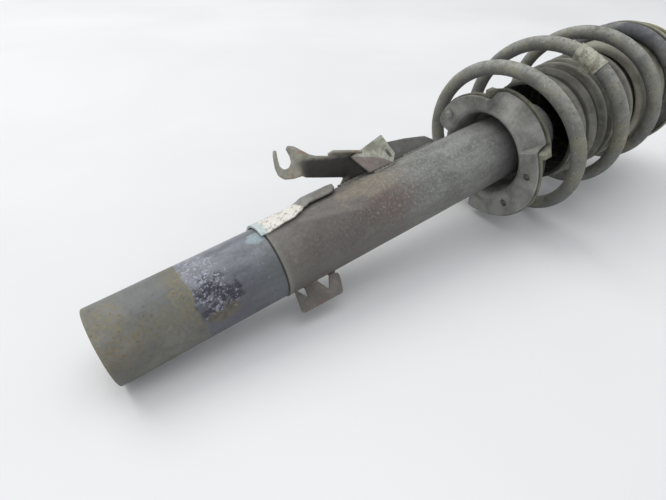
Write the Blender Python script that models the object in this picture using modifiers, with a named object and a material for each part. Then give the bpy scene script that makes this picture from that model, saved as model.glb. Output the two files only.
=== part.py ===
"""Strut assembly of a car's front suspension, lying with its axis along +X.

The origin is the centre of the lower end face. Clock angles are measured round
the axis: 0 degrees points up (+Z) and 90 degrees points to +Y. Every turned
outline lists (x, r) pairs in millimetres from the piece's own station.
"""
from math import cos, pi, radians, sin

import bmesh
import bpy
from mathutils import Matrix, Vector

MM = 0.001
MERGE = 0.00001
GAP = 0.3

# Damper body, in millimetres
CLAMP_R = 27.5
TUBE_R = 28.2
TUBE_BORE_R = 25.0
CLAMP_END_X = 122.0
TUBE_TOP_X = 407.0
PRESSURE_R = 17.5
PRESSURE_BORE_R = 16.0
ROD_R = 11.0
ROD_NECK_R = 7.0
PISTON_X = 345.0

# Lower spring seat
SEAT_X = 342.0
SEAT_SHEET = 3.0
SEAT_START_CLOCK = 79.0
SEAT_SWEEP = 267.0
SEAT_MOUTH_R = 43.9
RAISED_FROM_CLOCK = 0.0
RAISED_TO_CLOCK = -66.0
PAD_SHEET = 2.4
PAD_LEAD = 2.4
PEG_R = 3.2
PEG_CLOCKS = (60.0, -92.0, -140.0)
PEG_RADIUS = 48.6

# Coil spring: right-handed, a tightening end coil below and a narrowing top
WIRE_R = 6.25
SPRING_LOW_X = 354.6
SPRING_TOP_X = 541.2
SPRING_FIRST_TURN = -0.685
SPRING_LAST_TURN = 3.25
SPRING_TOP_CLOCK = 38.3
SPRING_TIP_R = 49.0
SPRING_MEAN_R = 71.0
SPRING_END_R = 61.6
SPRING_BOW = 4.6
SPRING_BOW_CLOCK = 42.0
COIL_STEPS = 28
TAG_FIRST_STEP = 51
TAG_LAST_STEP = 53

# Upper spring seat, boot and bump stop
UPPER_SEAT_X = 551.0
UPPER_SEAT_SHEET = 2.5
UPPER_SEAT_R = 63.4
COLLAR_R = 54.0
COLLAR_NECK_R = 50.6
COLLAR_X = 495.5
BOOT_X = 403.0
BOOT_RIBS = 6
BOOT_RIB_PITCH = 13.2
BOOT_WALL = 1.8
BUMP_X = 498.0

# Bearing and top mount
RACE_X = 553.8
RACE_MEAN_R = 36.5
BALL_R = 3.0
BALL_COUNT = 8
MOUNT_X = 567.5
MOUNT_SHEET = 2.6
MOUNT_R = 59.0
STUD_COUNT = 3
STUD_PITCH_R = 51.0
STUD_R = 5.0
CORE_X = 565.0
NUT_FLATS = 24.0

# Brackets: plates in radial planes, standing on the tube
BRACKET_CLOCK = 38.0
BRACKET_SHEET = 2.6
CLIP_CLOCK = -132.0
CLIP_SHEET = 2.0
PLATE_CLOCK = 38.0

COLOURS = {
    "worn_steel": ((0.23, 0.23, 0.22), 0.48, 0.85),
    "painted_steel": ((0.16, 0.16, 0.145), 0.62, 0.30),
    "bracket_steel": ((0.24, 0.235, 0.20), 0.60, 0.45),
    "spring_steel": ((0.17, 0.17, 0.155), 0.66, 0.15),
    "rubber": ((0.035, 0.035, 0.033), 0.85, 0.0),
    "boot_rubber": ((0.12, 0.12, 0.10), 0.82, 0.0),
    "foam": ((0.55, 0.50, 0.32), 0.90, 0.0),
    "chrome": ((0.70, 0.70, 0.72), 0.12, 1.0),
    "bright_steel": ((0.52, 0.52, 0.54), 0.32, 1.0),
    "zinc": ((0.50, 0.47, 0.36), 0.40, 0.90),
    "polymer": ((0.06, 0.06, 0.065), 0.45, 0.0),
    "tag_vinyl": ((0.46, 0.45, 0.36), 0.60, 0.0),
}


def clear_scene():
    for obj in list(bpy.data.objects):
        bpy.data.objects.remove(obj, do_unlink=True)


def new_collection(name):
    collection = bpy.data.collections.new(name)
    bpy.context.scene.collection.children.link(collection)
    return collection


clear_scene()
PARTS = new_collection("strut_assembly")
CUTTERS = new_collection("cutters")
AXES = {}


def axis_empty(name, x, parent=None):
    """An empty on the strut axis that carries one rigid body's pieces."""
    empty = bpy.data.objects.new(name, None)
    PARTS.objects.link(empty)
    empty.parent = AXES.get(parent)
    empty.location.x = x * MM - (AXES[parent]["station"] if parent else 0.0)
    empty["station"] = x * MM
    AXES[name] = empty


axis_empty("damper_body_axis", 0.0)
axis_empty("upper_seat_axis", UPPER_SEAT_X, "damper_body_axis")
axis_empty("top_mount_axis", MOUNT_X, "upper_seat_axis")
axis_empty("bearing_axis", RACE_X, "upper_seat_axis")


def around(clock, radius):
    """The point of the YZ plane at a clock angle and radius, in millimetres."""
    return radius * sin(radians(clock)), radius * cos(radians(clock))


def material(name, colour):
    rgb, roughness, metallic = COLOURS[colour]
    mat = bpy.data.materials.new(name)
    mat.use_nodes = True
    shader = mat.node_tree.nodes["Principled BSDF"]
    shader.inputs["Base Color"].default_value = (*rgb, 1.0)
    shader.inputs["Roughness"].default_value = roughness
    shader.inputs["Metallic"].default_value = metallic
    return mat


def add_part(name, mesh, colour, axis, station):
    """Links a mesh as one named sub-part, parented to its body's empty."""
    obj = bpy.data.objects.new(name, mesh)
    mesh.materials.clear()
    mesh.materials.append(material(name, colour))
    PARTS.objects.link(obj)
    obj.parent = AXES[axis]
    obj.location.x = station * MM - AXES[axis]["station"]
    return obj


def signed_area(outline):
    pairs = zip(outline, outline[1:] + outline[:1])
    return sum(a[0] * b[1] - b[0] * a[1] for a, b in pairs) / 2


def outline_mesh(name, outline):
    """A wire in the XY plane; an outline that starts and ends at r = 0 stays open."""
    points = list(outline) if signed_area(list(outline)) > 0 else list(outline)[::-1]
    solid = points[0][1] == 0 and points[-1][1] == 0
    count = len(points)
    edges = [(i, (i + 1) % count) for i in range(count - 1 if solid else count)]
    mesh = bpy.data.meshes.new(name)
    mesh.from_pydata([(x * MM, r * MM, 0.0) for x, r in points], edges, [])
    return mesh


def spin_modifier(obj, segments):
    screw = obj.modifiers.new("turned", "SCREW")
    screw.axis = "X"
    screw.angle = 2 * pi
    screw.steps = segments
    screw.render_steps = segments
    screw.use_merge_vertices = True
    screw.merge_threshold = MERGE
    screw.use_smooth_shade = True


def turned(name, outline, colour, axis, station, segments=20):
    """A turned piece: its (x, r) outline revolved about the strut axis."""
    obj = add_part(name, outline_mesh(name, outline), colour, axis, station)
    spin_modifier(obj, segments)
    return obj


def baked(obj):
    """The object's evaluated mesh as a plain mesh; the object goes away."""
    bpy.context.view_layer.update()
    graph = bpy.context.evaluated_depsgraph_get()
    mesh = bpy.data.meshes.new_from_object(obj.evaluated_get(graph))
    bpy.data.objects.remove(obj, do_unlink=True)
    weld = bmesh.new()
    weld.from_mesh(mesh)
    bmesh.ops.remove_doubles(weld, verts=weld.verts, dist=MERGE)
    bmesh.ops.recalc_face_normals(weld, faces=weld.faces)
    weld.to_mesh(mesh)
    weld.free()
    return mesh


def scratch_object(name, data):
    obj = bpy.data.objects.new(name, data)
    PARTS.objects.link(obj)
    return obj


def copies(name, mesh, matrices):
    """One mesh that holds a separate copy of a solid at each matrix."""
    group = bmesh.new()
    for matrix in matrices:
        piece = bmesh.new()
        piece.from_mesh(mesh)
        piece.transform(matrix)
        moved = bpy.data.meshes.new(name)
        piece.to_mesh(moved)
        piece.free()
        group.from_mesh(moved)
        bpy.data.meshes.remove(moved)
    joined = bpy.data.meshes.new(name)
    group.to_mesh(joined)
    group.free()
    return joined


def radial_frame(clock, x=0.0, radius=0.0):
    """Local X along the strut, local Y radial at the clock angle."""
    turn = Matrix.Rotation(radians(90.0 - clock), 4, "X")
    return Matrix.Translation((x * MM, *(v * MM for v in around(clock, radius)))) @ turn


def tangent_frame(clock, x, radius):
    """Local X along the strut, local Y round the tube, local Z radial."""
    turn = Matrix.Rotation(radians(-clock), 4, "X")
    return Matrix.Translation((x * MM, *(v * MM for v in around(clock, radius)))) @ turn


def across_frame(clock, x, radius):
    """Local Z along the strut, at a clock angle and radius."""
    turn = Matrix.Rotation(pi / 2, 4, "Y")
    return Matrix.Translation((x * MM, *(v * MM for v in around(clock, radius)))) @ turn


def plate_mesh(name, outline, thickness, matrix):
    """A flat plate cut to an outline in millimetres, placed by a matrix."""
    curve = bpy.data.curves.new(name, "CURVE")
    curve.dimensions = "2D"
    curve.fill_mode = "BOTH"
    curve.extrude = thickness / 2 * MM
    spline = curve.splines.new("POLY")
    spline.points.add(len(outline) - 1)
    for point, (u, v) in zip(spline.points, outline):
        point.co = (u * MM, v * MM, 0.0, 1.0)
    spline.use_cyclic_u = True
    mesh = baked(scratch_object(name, curve))
    mesh.transform(matrix)
    return mesh


def wire_mesh(name, points, radius, capped=True):
    """A round wire of eight sides along points in metres."""
    curve = bpy.data.curves.new(name, "CURVE")
    curve.dimensions = "3D"
    curve.bevel_depth = radius * MM
    curve.bevel_resolution = 2
    curve.use_fill_caps = capped
    spline = curve.splines.new("POLY")
    spline.points.add(len(points) - 1)
    for point, place in zip(spline.points, points):
        point.co = (*place, 1.0)
    return baked(scratch_object(name, curve))


def loft_mesh(name, rings, closed=False):
    """A closed solid skinned over rings of points that share one count."""
    mesh = bmesh.new()
    rows = [[mesh.verts.new(place) for place in ring] for ring in rings]
    pairs = list(zip(rows, rows[1:])) + ([(rows[-1], rows[0])] if closed else [])
    for low, high in pairs:
        for i in range(len(low)):
            j = (i + 1) % len(low)
            mesh.faces.new((low[i], low[j], high[j], high[i]))
    if not closed:
        mesh.faces.new(rows[0])
        mesh.faces.new(rows[-1][::-1])
    bmesh.ops.recalc_face_normals(mesh, faces=mesh.faces)
    data = bpy.data.meshes.new(name)
    mesh.to_mesh(data)
    mesh.free()
    return data


def cylinder_mesh(name, radius, depth, segments, matrix):
    mesh = bmesh.new()
    bmesh.ops.create_cone(
        mesh, cap_ends=True, segments=segments,
        radius1=radius * MM, radius2=radius * MM, depth=depth * MM,
    )
    data = bpy.data.meshes.new(name)
    mesh.to_mesh(data)
    mesh.free()
    data.transform(matrix)
    return data


def boolean(obj, tool_mesh, operation):
    """Adds an exact Boolean with a hidden cutter that rides with the piece."""
    tool = bpy.data.objects.new(f"{obj.name}_{operation.lower()}", tool_mesh)
    CUTTERS.objects.link(tool)
    tool.hide_render = True
    tool.display_type = "WIRE"
    tool.parent = obj
    modifier = obj.modifiers.new(operation.lower(), "BOOLEAN")
    modifier.operation = operation
    modifier.solver = "EXACT"
    modifier.object = tool


def shade_round(obj, angle=35.0):
    obj.data.shade_smooth()
    obj.data.set_sharp_from_angle(angle=radians(angle))


# ---------------------------------------------------------------- damper body


def damper_tube():
    top = TUBE_TOP_X
    outline = [
        (0.0, TUBE_BORE_R), (0.0, CLAMP_R - 0.8), (0.8, CLAMP_R), (CLAMP_END_X, CLAMP_R),
        (CLAMP_END_X + 0.9, TUBE_R), (top - 4.0, TUBE_R), (top - 1.0, TUBE_R - 1.4),
        (top, TUBE_R - 4.0), (top, 20.6), (top - 1.6, 20.6), (top - 1.6, TUBE_BORE_R),
    ]
    turned("damper_tube", outline, "worn_steel", "damper_body_axis", 0.0, 32)


def base_cup():
    rim = TUBE_BORE_R - GAP
    outline = [(0.0, 0.0), (0.0, rim), (9.0, rim), (9.0, 20.0), (4.0, 17.0), (4.0, 0.0)]
    turned("base_cup", outline, "worn_steel", "damper_body_axis", 0.0)


def base_valve():
    plug = PRESSURE_BORE_R - GAP
    outline = [
        (0.0, 0.0), (0.0, 12.0), (5.4, 14.0), (5.4, 19.4), (9.4, 19.4), (9.4, plug),
        (16.0, plug), (16.0, 8.0), (19.0, 6.0), (19.0, 0.0),
    ]
    turned("base_valve", outline, "bright_steel", "damper_body_axis", 4.3)


def pressure_tube():
    length = 386.0 - 14.0
    bore = PRESSURE_BORE_R
    outline = [(0.0, bore), (0.0, PRESSURE_R), (length, PRESSURE_R), (length, bore)]
    turned("pressure_tube", outline, "bright_steel", "damper_body_axis", 14.0)


def rod_guide():
    rim = TUBE_BORE_R - GAP
    outline = [
        (0.0, ROD_R + GAP), (0.0, PRESSURE_BORE_R - GAP), (4.0, PRESSURE_BORE_R - GAP),
        (4.0, rim), (18.0, rim), (18.0, 18.0), (15.0, 16.0), (15.0, ROD_R + GAP),
    ]
    turned("rod_guide", outline, "bright_steel", "damper_body_axis", 382.3)


def rod_seal():
    outline = [
        (0.0, ROD_R + GAP), (0.0, 23.5), (4.6, 23.5), (4.6, 19.0), (7.0, 15.0), (7.0, 12.4),
        (4.0, ROD_R + GAP),
    ]
    turned("rod_seal", outline, "rubber", "damper_body_axis", 400.6)


def locating_plate():
    """A formed plate on the clamp's edge, with a tongue that stands off the tube."""
    shell = [
        (0.0, TUBE_R + GAP), (0.0, 30.2), (38.0, 30.6), (46.0, 33.4), (74.0, 33.4),
        (74.0, 30.4), (48.0, 30.2), (41.0, TUBE_R + GAP),
    ]
    station = CLAMP_END_X - 4.0
    obj = turned("locating_plate", shell, "bracket_steel", "damper_body_axis", station, 40)
    wide, narrow, tip, aside = 23.5, 9.5, 72.0, -5.5
    upper = [(1.0, wide), (28.0, wide - 2.0), (35.0, 13.0), (41.0, 6.0), (46.0, narrow + aside)]
    lower = [
        (1.0, -wide), (28.0, 2.0 - wide), (35.0, -19.0), (41.0, -16.5), (46.0, aside - narrow),
    ]
    nose = [
        (tip - narrow + narrow * cos(radians(a)), aside + narrow * sin(radians(a)))
        for a in range(-75, 76, 25)
    ]
    outline = lower + nose + upper[::-1]
    above = tangent_frame(PLATE_CLOCK, 0.0, 30.0)
    boolean(obj, plate_mesh("tongue_outline", outline, 24.0, above), "INTERSECT")


def hose_bracket():
    """The arm with its open hose hook, a folded top flange and a short leg."""
    hook_x, hook_r, slot = 163.6, 62.6, 3.9
    slot_arc = [
        (hook_x + slot * cos(radians(a)), hook_r + slot * sin(radians(a)))
        for a in range(180, 361, 30)
    ]
    outline = [
        (207.0, 34.4), (170.0, 50.0), (163.0, 51.4), (157.6, 53.6), (155.2, 58.5), (155.4, 66.0),
        (157.8, 73.6), (159.4, 74.4), (160.4, 73.2), (159.6, 67.5),
        *slot_arc,
        (168.3, 69.0), (170.2, 71.8), (173.4, 72.2), (180.0, 65.5), (186.5, 58.9), (199.4, 56.2),
        (220.4, 46.9), (232.0, 44.0), (236.0, 29.2), (196.0, 29.2),
        (199.5, 32.5),
    ]
    arm = plate_mesh("hose_bracket", outline, BRACKET_SHEET, radial_frame(BRACKET_CLOCK))
    obj = add_part("hose_bracket", arm, "bracket_steel", "damper_body_axis", 0.0)
    start, end = Vector((200.4, 56.3)), Vector((219.4, 47.9))
    inward = Vector((end.y - start.y, start.x - end.x)).normalized() * BRACKET_SHEET
    flange = [start, end, end + inward, start + inward]
    fold = radial_frame(BRACKET_CLOCK) @ Matrix.Translation((0.0, 0.0, 4.0 * MM))
    boolean(obj, plate_mesh("flange", flange, 8.0, fold), "UNION")


def bracket_gusset():
    """The bent gusset that ties the arm to the tube, with its slotted lip."""
    outline = [
        (214.0, 47.6), (226.0, 29.4), (246.0, 29.4), (256.0, 33.0), (258.0, 38.0), (250.5, 53.0),
    ]
    tilt = radial_frame(BRACKET_CLOCK) @ Matrix.Translation((0.0, 0.0, 11.0 * MM))
    mesh = plate_mesh("bracket_gusset", outline, BRACKET_SHEET, tilt)
    obj = add_part("bracket_gusset", mesh, "bracket_steel", "damper_body_axis", 0.0)
    slot = [(247.0, 36.0), (253.0, 36.0), (253.0, 39.0), (247.0, 39.0)]
    boolean(obj, plate_mesh("gusset_slot", slot, 12.0, tilt), "DIFFERENCE")


def bracket_back_plate():
    outline = [
        (240.0, 30.0), (262.0, 29.2), (298.0, 29.2), (301.0, 30.5), (292.0, 35.6), (252.0, 44.5),
        (242.0, 42.0),
    ]
    mesh = plate_mesh("bracket_back_plate", outline, BRACKET_SHEET, radial_frame(BRACKET_CLOCK))
    add_part("bracket_back_plate", mesh, "bracket_steel", "damper_body_axis", 0.0)


def sensor_clip():
    """A notched lead clip welded to the tube's lower front side."""
    outline = [
        (127.5, 28.9), (129.0, 28.9), (134.6, 36.6), (135.6, 28.9), (146.0, 28.9), (151.8, 38.6),
        (157.0, 29.6), (163.4, 30.4), (163.8, 33.2), (160.5, 44.4), (158.8, 45.6), (127.2, 44.8),
        (125.2, 43.2),
    ]
    mesh = plate_mesh("sensor_clip", outline, CLIP_SHEET, radial_frame(CLIP_CLOCK))
    add_part("sensor_clip", mesh, "bracket_steel", "damper_body_axis", 0.0)


# ---------------------------------------------------------- lower spring seat


def smooth(t):
    t = min(max(t, 0.0), 1.0)
    return t * t * (3 - 2 * t)


def mix(a, b, t):
    return a + (b - a) * t


def raised_share(clock, margin=0.0):
    """1 on the raised segment of the seat, 0 on its flat flange."""
    inside = min(RAISED_FROM_CLOCK - clock, clock - RAISED_TO_CLOCK) + margin
    return smooth(inside / 2.0 + 0.5)


def seat_edge_r(clock):
    """The flange's edge, which draws in towards the upper step; the neck alone closes the ring."""
    if clock < SEAT_START_CLOCK - SEAT_SWEEP - 0.1:
        return SEAT_MOUTH_R
    if clock > RAISED_FROM_CLOCK:
        return mix(51.0, 57.8, clock / SEAT_START_CLOCK)
    return mix(57.0, 61.0, smooth((RAISED_TO_CLOCK - clock) / 60.0))


def seat_section(clock):
    """The pan's (x, r) section: collar, deep neck, rim and flange."""
    k = raised_share(clock)
    edge = seat_edge_r(clock)
    return [
        (374.0, TUBE_R + GAP), (371.0, 31.0), (366.0, 33.6), (350.0, 35.9), (343.6, 38.0),
        (SEAT_X, 41.0),
        (mix(SEAT_X, 362.0, k), mix(edge, 52.5, k)),
        (mix(SEAT_X + SEAT_SHEET, 363.7, k), mix(edge, 50.0, k)),
        (mix(345.0, 347.6, k), mix(43.6, 41.3, k)), (347.0, 40.2), (352.0, 38.9), (367.0, 36.6),
        (374.0, 34.0), (379.0, 31.4), (388.0, 31.4), (388.0, TUBE_R + GAP),
    ]


def seat_clocks():
    """Stations round the C-shaped pan, with two at each step."""
    count = 24
    clocks = [SEAT_START_CLOCK - SEAT_SWEEP * i / count for i in range(count + 1)]
    for step in (RAISED_FROM_CLOCK, RAISED_TO_CLOCK):
        clocks = [c for c in clocks if abs(c - step) > 3.0]
        clocks += [step + 1.0, step - 1.0]
    return sorted(clocks, reverse=True)


def ring_at(section, clock):
    return [(x * MM, *(v * MM for v in around(clock, r))) for x, r in section]


def lower_spring_seat():
    """A full ring whose flange runs only part of the way round."""
    gap = 360.0 - SEAT_SWEEP
    end = SEAT_START_CLOCK - SEAT_SWEEP
    clocks = seat_clocks() + [end - 1.2 - (gap - 2.4) * i / 8 for i in range(9)]
    rings = [ring_at(seat_section(clock), clock) for clock in clocks]
    mesh = loft_mesh("lower_spring_seat", rings, closed=True)
    obj = add_part("lower_spring_seat", mesh, "painted_steel", "damper_body_axis", 0.0)
    holes = [across_frame(clock, SEAT_X + SEAT_SHEET / 2, PEG_RADIUS) for clock in PEG_CLOCKS]
    hole = cylinder_mesh("peg_hole", PEG_R + GAP, 8.0, 12, Matrix.Identity(4))
    boolean(obj, copies("peg_holes", hole, holes), "DIFFERENCE")
    shade_round(obj)


def tab_share(clock):
    """1 on the pad's two stop tabs, which stand beside the raised segment."""
    beyond = max(clock - RAISED_FROM_CLOCK, RAISED_TO_CLOCK - clock)
    return smooth(min(beyond - PAD_LEAD - 1.0, PAD_LEAD + 5.2 - beyond) / 0.8)


def pad_section(clock):
    """The pad's (x, r) section, lying on the back of the pan."""
    k = raised_share(clock, PAD_LEAD)
    tab = tab_share(clock)
    front = SEAT_X + SEAT_SHEET + GAP
    back = front + PAD_SHEET + 14.0 * tab
    edge = seat_edge_r(clock) + 1.4 + 4.2 * tab
    return [
        (mix(front, 350.4, k), mix(44.6, 41.9, k)),
        (mix(front, 364.3, k), mix(edge - 1.0, 49.5, k)),
        (mix(front, 364.1, k), mix(edge, 53.6, k)),
        (mix(back, 366.8, k), mix(edge, 53.6, k)),
        (mix(back, 366.6, k), mix(edge - 1.0, 48.6, k)),
        (mix(back, 351.6, k), mix(44.6, 39.9, k)),
    ]


def lower_spring_pad():
    """Rubber pad under the end coil; its pegs plug into the pan's holes."""
    stops = (PAD_LEAD - 1.0, PAD_LEAD + 1.0, PAD_LEAD + 1.8, PAD_LEAD + 4.4, PAD_LEAD + 5.2)
    clocks = seat_clocks()
    edges = [RAISED_FROM_CLOCK + s for s in stops] + [RAISED_TO_CLOCK - s for s in stops]
    for stop in edges:
        clocks = [c for c in clocks if abs(c - stop) > 0.4] + [stop]
    clocks.sort(reverse=True)
    mesh = loft_mesh("lower_spring_pad", [ring_at(pad_section(c), c) for c in clocks])
    obj = add_part("lower_spring_pad", mesh, "rubber", "damper_body_axis", 0.0)
    peg_top = SEAT_X - 2.2
    peg_end = SEAT_X + SEAT_SHEET + PAD_SHEET - 0.6
    pegs = [across_frame(clock, (peg_top + peg_end) / 2, PEG_RADIUS) for clock in PEG_CLOCKS]
    peg = cylinder_mesh("peg", PEG_R, peg_end - peg_top, 12, Matrix.Identity(4))
    boolean(obj, copies("pegs", peg, pegs), "UNION")
    shade_round(obj)


# ---------------------------------------------------------------- coil spring


def coil_rise(turn):
    """Turns' worth of full pitch climbed at this turn: flat ends, steady middle."""
    def eased(t, start, width):
        u = min(max((t - start) / width, 0.0), 1.0)
        return width * (u ** 3 - u ** 4 / 2) + max(t - start - width, 0.0)
    return eased(turn, -0.32, 0.5) - eased(turn, 2.72, 0.5)


def coil_radius(turn):
    lower = mix(SPRING_TIP_R, SPRING_MEAN_R - 1.0, smooth((turn + 0.47) / 0.34))
    belly = mix(lower, SPRING_MEAN_R, smooth(turn / 0.8))
    return mix(belly, SPRING_END_R, smooth((turn - 1.0) / 2.0)) - 2.6 * smooth((turn - 2.5) / 0.5)


def coil_point(turn):
    """A point of the wire's centreline, in metres."""
    whole = coil_rise(SPRING_LAST_TURN)
    share = coil_rise(turn) / whole
    x = mix(SPRING_LOW_X, SPRING_TOP_X, share)
    y, z = around(SPRING_TOP_CLOCK - 360.0 * turn, coil_radius(turn))
    bow_y, bow_z = around(SPRING_BOW_CLOCK, SPRING_BOW * sin(pi * share))
    return Vector((x, y + bow_y, z + bow_z)) * MM


def coil_points():
    count = round((SPRING_LAST_TURN - SPRING_FIRST_TURN) * COIL_STEPS)
    turns = [mix(SPRING_FIRST_TURN, SPRING_LAST_TURN, i / count) for i in range(count + 1)]
    return [coil_point(turn) for turn in turns]


def coil_spring():
    mesh = wire_mesh("coil_spring", coil_points(), WIRE_R)
    obj = add_part("coil_spring", mesh, "spring_steel", "damper_body_axis", 0.0)
    shade_round(obj, 60.0)


def spring_tag():
    """A blank marking sleeve wrapped round the second coil."""
    route = coil_points()[TAG_FIRST_STEP:TAG_LAST_STEP + 1]
    sleeve = wire_mesh("spring_tag", route, WIRE_R + 0.75, capped=False)
    obj = add_part("spring_tag", sleeve, "tag_vinyl", "damper_body_axis", 0.0)
    wall = obj.modifiers.new("wall", "SOLIDIFY")
    wall.thickness = 0.7 * MM
    wall.offset = 1.0


# ------------------------------------------------- upper seat, boot, bump stop


def upper_spring_seat():
    rise = UPPER_SEAT_X
    lip = UPPER_SEAT_R
    rim = COLLAR_X - rise
    outer = COLLAR_R
    inner = COLLAR_R - 2.6
    neck = COLLAR_NECK_R
    outline = [
        (UPPER_SEAT_SHEET, 16.0), (UPPER_SEAT_SHEET, lip - 1.5), (1.0, lip + 0.6),
        (-2.4, lip + 0.6), (-2.4, lip - 1.4), (0.0, lip - 2.0), (0.0, neck), (-15.0, neck),
        (-29.0, outer), (rim + 5.0, outer), (rim + 1.4, outer - 1.8), (rim, outer - 5.0),
        (rim + 1.8, outer - 6.8), (rim + 4.2, outer - 4.6), (rim + 7.0, inner), (-28.5, inner),
        (-14.5, neck - 2.6), (0.0, neck - 2.6), (0.0, 16.0),
    ]
    obj = turned("upper_spring_seat", outline, "painted_steel", "upper_seat_axis", rise, 28)
    drains = [tangent_frame(clock, rim + 17.0, outer - 1.0) for clock in (-60.0, 60.0, 180.0)]
    drain = cylinder_mesh("drain", 2.6, 9.0, 10, Matrix.Identity(4))
    boolean(obj, copies("drains", drain, drains), "DIFFERENCE")


def upper_spring_pad():
    bore = COLLAR_NECK_R + GAP
    outline = [
        (0.0, bore), (0.0, 61.0), (-2.6, 61.0), (-2.6, bore + 3.5), (-9.0, bore + 1.3), (-9.0, bore),
    ]
    turned("upper_spring_pad", outline, "rubber", "upper_seat_axis", UPPER_SEAT_X - GAP, 28)


def dust_boot():
    """Bellows hanging from the upper seat; its mouth stays open round the tube."""
    mouth = [(0.0, 45.2), (0.0, 47.2), (3.0, 47.6), (6.0, 46.4)]
    ribs = []
    for i in range(BOOT_RIBS):
        crest = min(49.5 + 1.6 * i, 52.5)
        start = 8.0 + i * BOOT_RIB_PITCH
        ribs += [(start + 0.45 * BOOT_RIB_PITCH, crest), (start + BOOT_RIB_PITCH, 46.8)]
    neck_x = COLLAR_X - BOOT_X + 5.0
    neck = [(neck_x - 2.0, 46.4), (neck_x + 5.0, 46.4), (neck_x + 8.0, 50.2), (neck_x + 14.0, 50.2)]
    outer = mouth + ribs + neck
    inner = [(x, r - BOOT_WALL) for x, r in outer[2:]]
    roof = [(neck_x + 14.0, 33.0), (neck_x + 12.0, 33.0), (neck_x + 12.0, 48.4)]
    inner = [(x, r) for x, r in inner if x < neck_x + 12.0]
    outline = outer + roof + inner[::-1]
    turned("dust_boot", outline, "boot_rubber", "upper_seat_axis", BOOT_X, 22)


def bump_stop():
    length = UPPER_SEAT_X - GAP - BUMP_X
    bore = ROD_R + GAP
    outline = [
        (0.0, bore), (0.0, 17.0), (3.0, 20.0), (9.0, 21.5), (13.0, 18.0), (18.0, 23.0),
        (25.0, 24.5), (30.0, 20.5), (36.0, 26.0), (length, 27.0), (length, bore),
    ]
    turned("bump_stop", outline, "foam", "upper_seat_axis", BUMP_X)


# --------------------------------------------------------------------- bearing


def race_outline(groove_side):
    """A race 4.4 thick whose ball groove faces +X (1) or -X (-1)."""
    thick, groove, half = 4.4, 1.0, 6.0
    outline = [
        (thick, RACE_MEAN_R + half), (thick, RACE_MEAN_R + 2.4), (thick - groove, RACE_MEAN_R + 1.4),
        (thick - groove, RACE_MEAN_R - 1.4), (thick, RACE_MEAN_R - 2.4), (thick, RACE_MEAN_R - half),
        (0.0, RACE_MEAN_R - half), (0.0, RACE_MEAN_R + half),
    ]
    if groove_side > 0:
        return outline
    return [(thick - x, r) for x, r in outline]


BALL_X = RACE_X + 4.4 - 1.0 + GAP + BALL_R
UPPER_RACE_X = BALL_X + BALL_R + GAP - 1.0
BALL_CLOCKS = [360.0 * i / BALL_COUNT for i in range(BALL_COUNT)]


def bearing_lower_race():
    turned("bearing_lower_race", race_outline(1), "bright_steel", "upper_seat_axis", RACE_X, 24)


def bearing_upper_race():
    outline = race_outline(-1)
    turned("bearing_upper_race", outline, "bright_steel", "top_mount_axis", UPPER_RACE_X, 24)


def bearing_cage():
    half = 1.5
    low, high = RACE_MEAN_R - 5.0, RACE_MEAN_R + 5.0
    outline = [(-half, low), (-half, high), (half, high), (half, low)]
    obj = turned("bearing_cage", outline, "polymer", "bearing_axis", BALL_X, 24)
    pockets = [across_frame(clock, 0.0, RACE_MEAN_R) for clock in BALL_CLOCKS]
    pocket = cylinder_mesh("pocket", BALL_R + 0.4, 8.0, 12, Matrix.Identity(4))
    boolean(obj, copies("pockets", pocket, pockets), "DIFFERENCE")


def bearing_balls():
    for number, clock in enumerate(BALL_CLOCKS, start=1):
        ball = bmesh.new()
        bmesh.ops.create_uvsphere(ball, u_segments=8, v_segments=5, radius=BALL_R * MM)
        mesh = bpy.data.meshes.new("ball")
        ball.to_mesh(mesh)
        ball.free()
        obj = add_part(f"bearing_ball_{number}", mesh, "bright_steel", "bearing_axis", BALL_X)
        obj.location.yz = [v * MM for v in around(clock, RACE_MEAN_R)]
        shade_round(obj, 60.0)


# ------------------------------------------------------------------- top mount


def mount_plate():
    """Pressed plate with a domed cup for the rubber and holes for the studs."""
    sheet = MOUNT_SHEET
    outline = [
        (0.0, 40.4), (0.0, MOUNT_R - 1.0), (1.3, MOUNT_R), (sheet, MOUNT_R - 1.0), (sheet, 44.0),
        (sheet + 1.2, 43.0), (20.0, 43.0), (22.6, 41.0), (22.6, 28.0), (20.2, 28.0), (20.2, 40.4),
    ]
    obj = turned("mount_plate", outline, "painted_steel", "top_mount_axis", MOUNT_X, 28)
    places = [across_frame(clock, sheet / 2, STUD_PITCH_R) for clock in stud_clocks()]
    hole = cylinder_mesh("stud_hole", STUD_R + GAP, 8.0, 12, Matrix.Identity(4))
    boolean(obj, copies("stud_holes", hole, places), "DIFFERENCE")


def stud_clocks():
    return [30.0 + 360.0 * i / STUD_COUNT for i in range(STUD_COUNT)]


def mount_studs():
    outline = [
        (-5.0, 0.0), (-5.0, 6.2), (-4.2, 7.0), (-GAP, 7.0), (-GAP, STUD_R), (32.6, STUD_R),
        (34.0, STUD_R - 1.4), (34.0, 0.0),
    ]
    for number, clock in enumerate(stud_clocks(), start=1):
        obj = turned(f"mount_stud_{number}", outline, "zinc", "top_mount_axis", MOUNT_X, 12)
        obj.location.yz = [v * MM for v in around(clock, STUD_PITCH_R)]


def mount_rubber():
    outline = [
        (0.6, 20.4), (0.6, 24.5), (3.4, 27.5), (3.4, 34.0), (0.6, 36.6), (0.6, 40.0),
        (19.8, 40.0), (19.8, 32.0), (17.0, 29.4), (17.0, 25.0), (19.8, 22.0), (19.8, 20.4),
    ]
    turned("mount_rubber", outline, "rubber", "top_mount_axis", MOUNT_X, 22)


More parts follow.
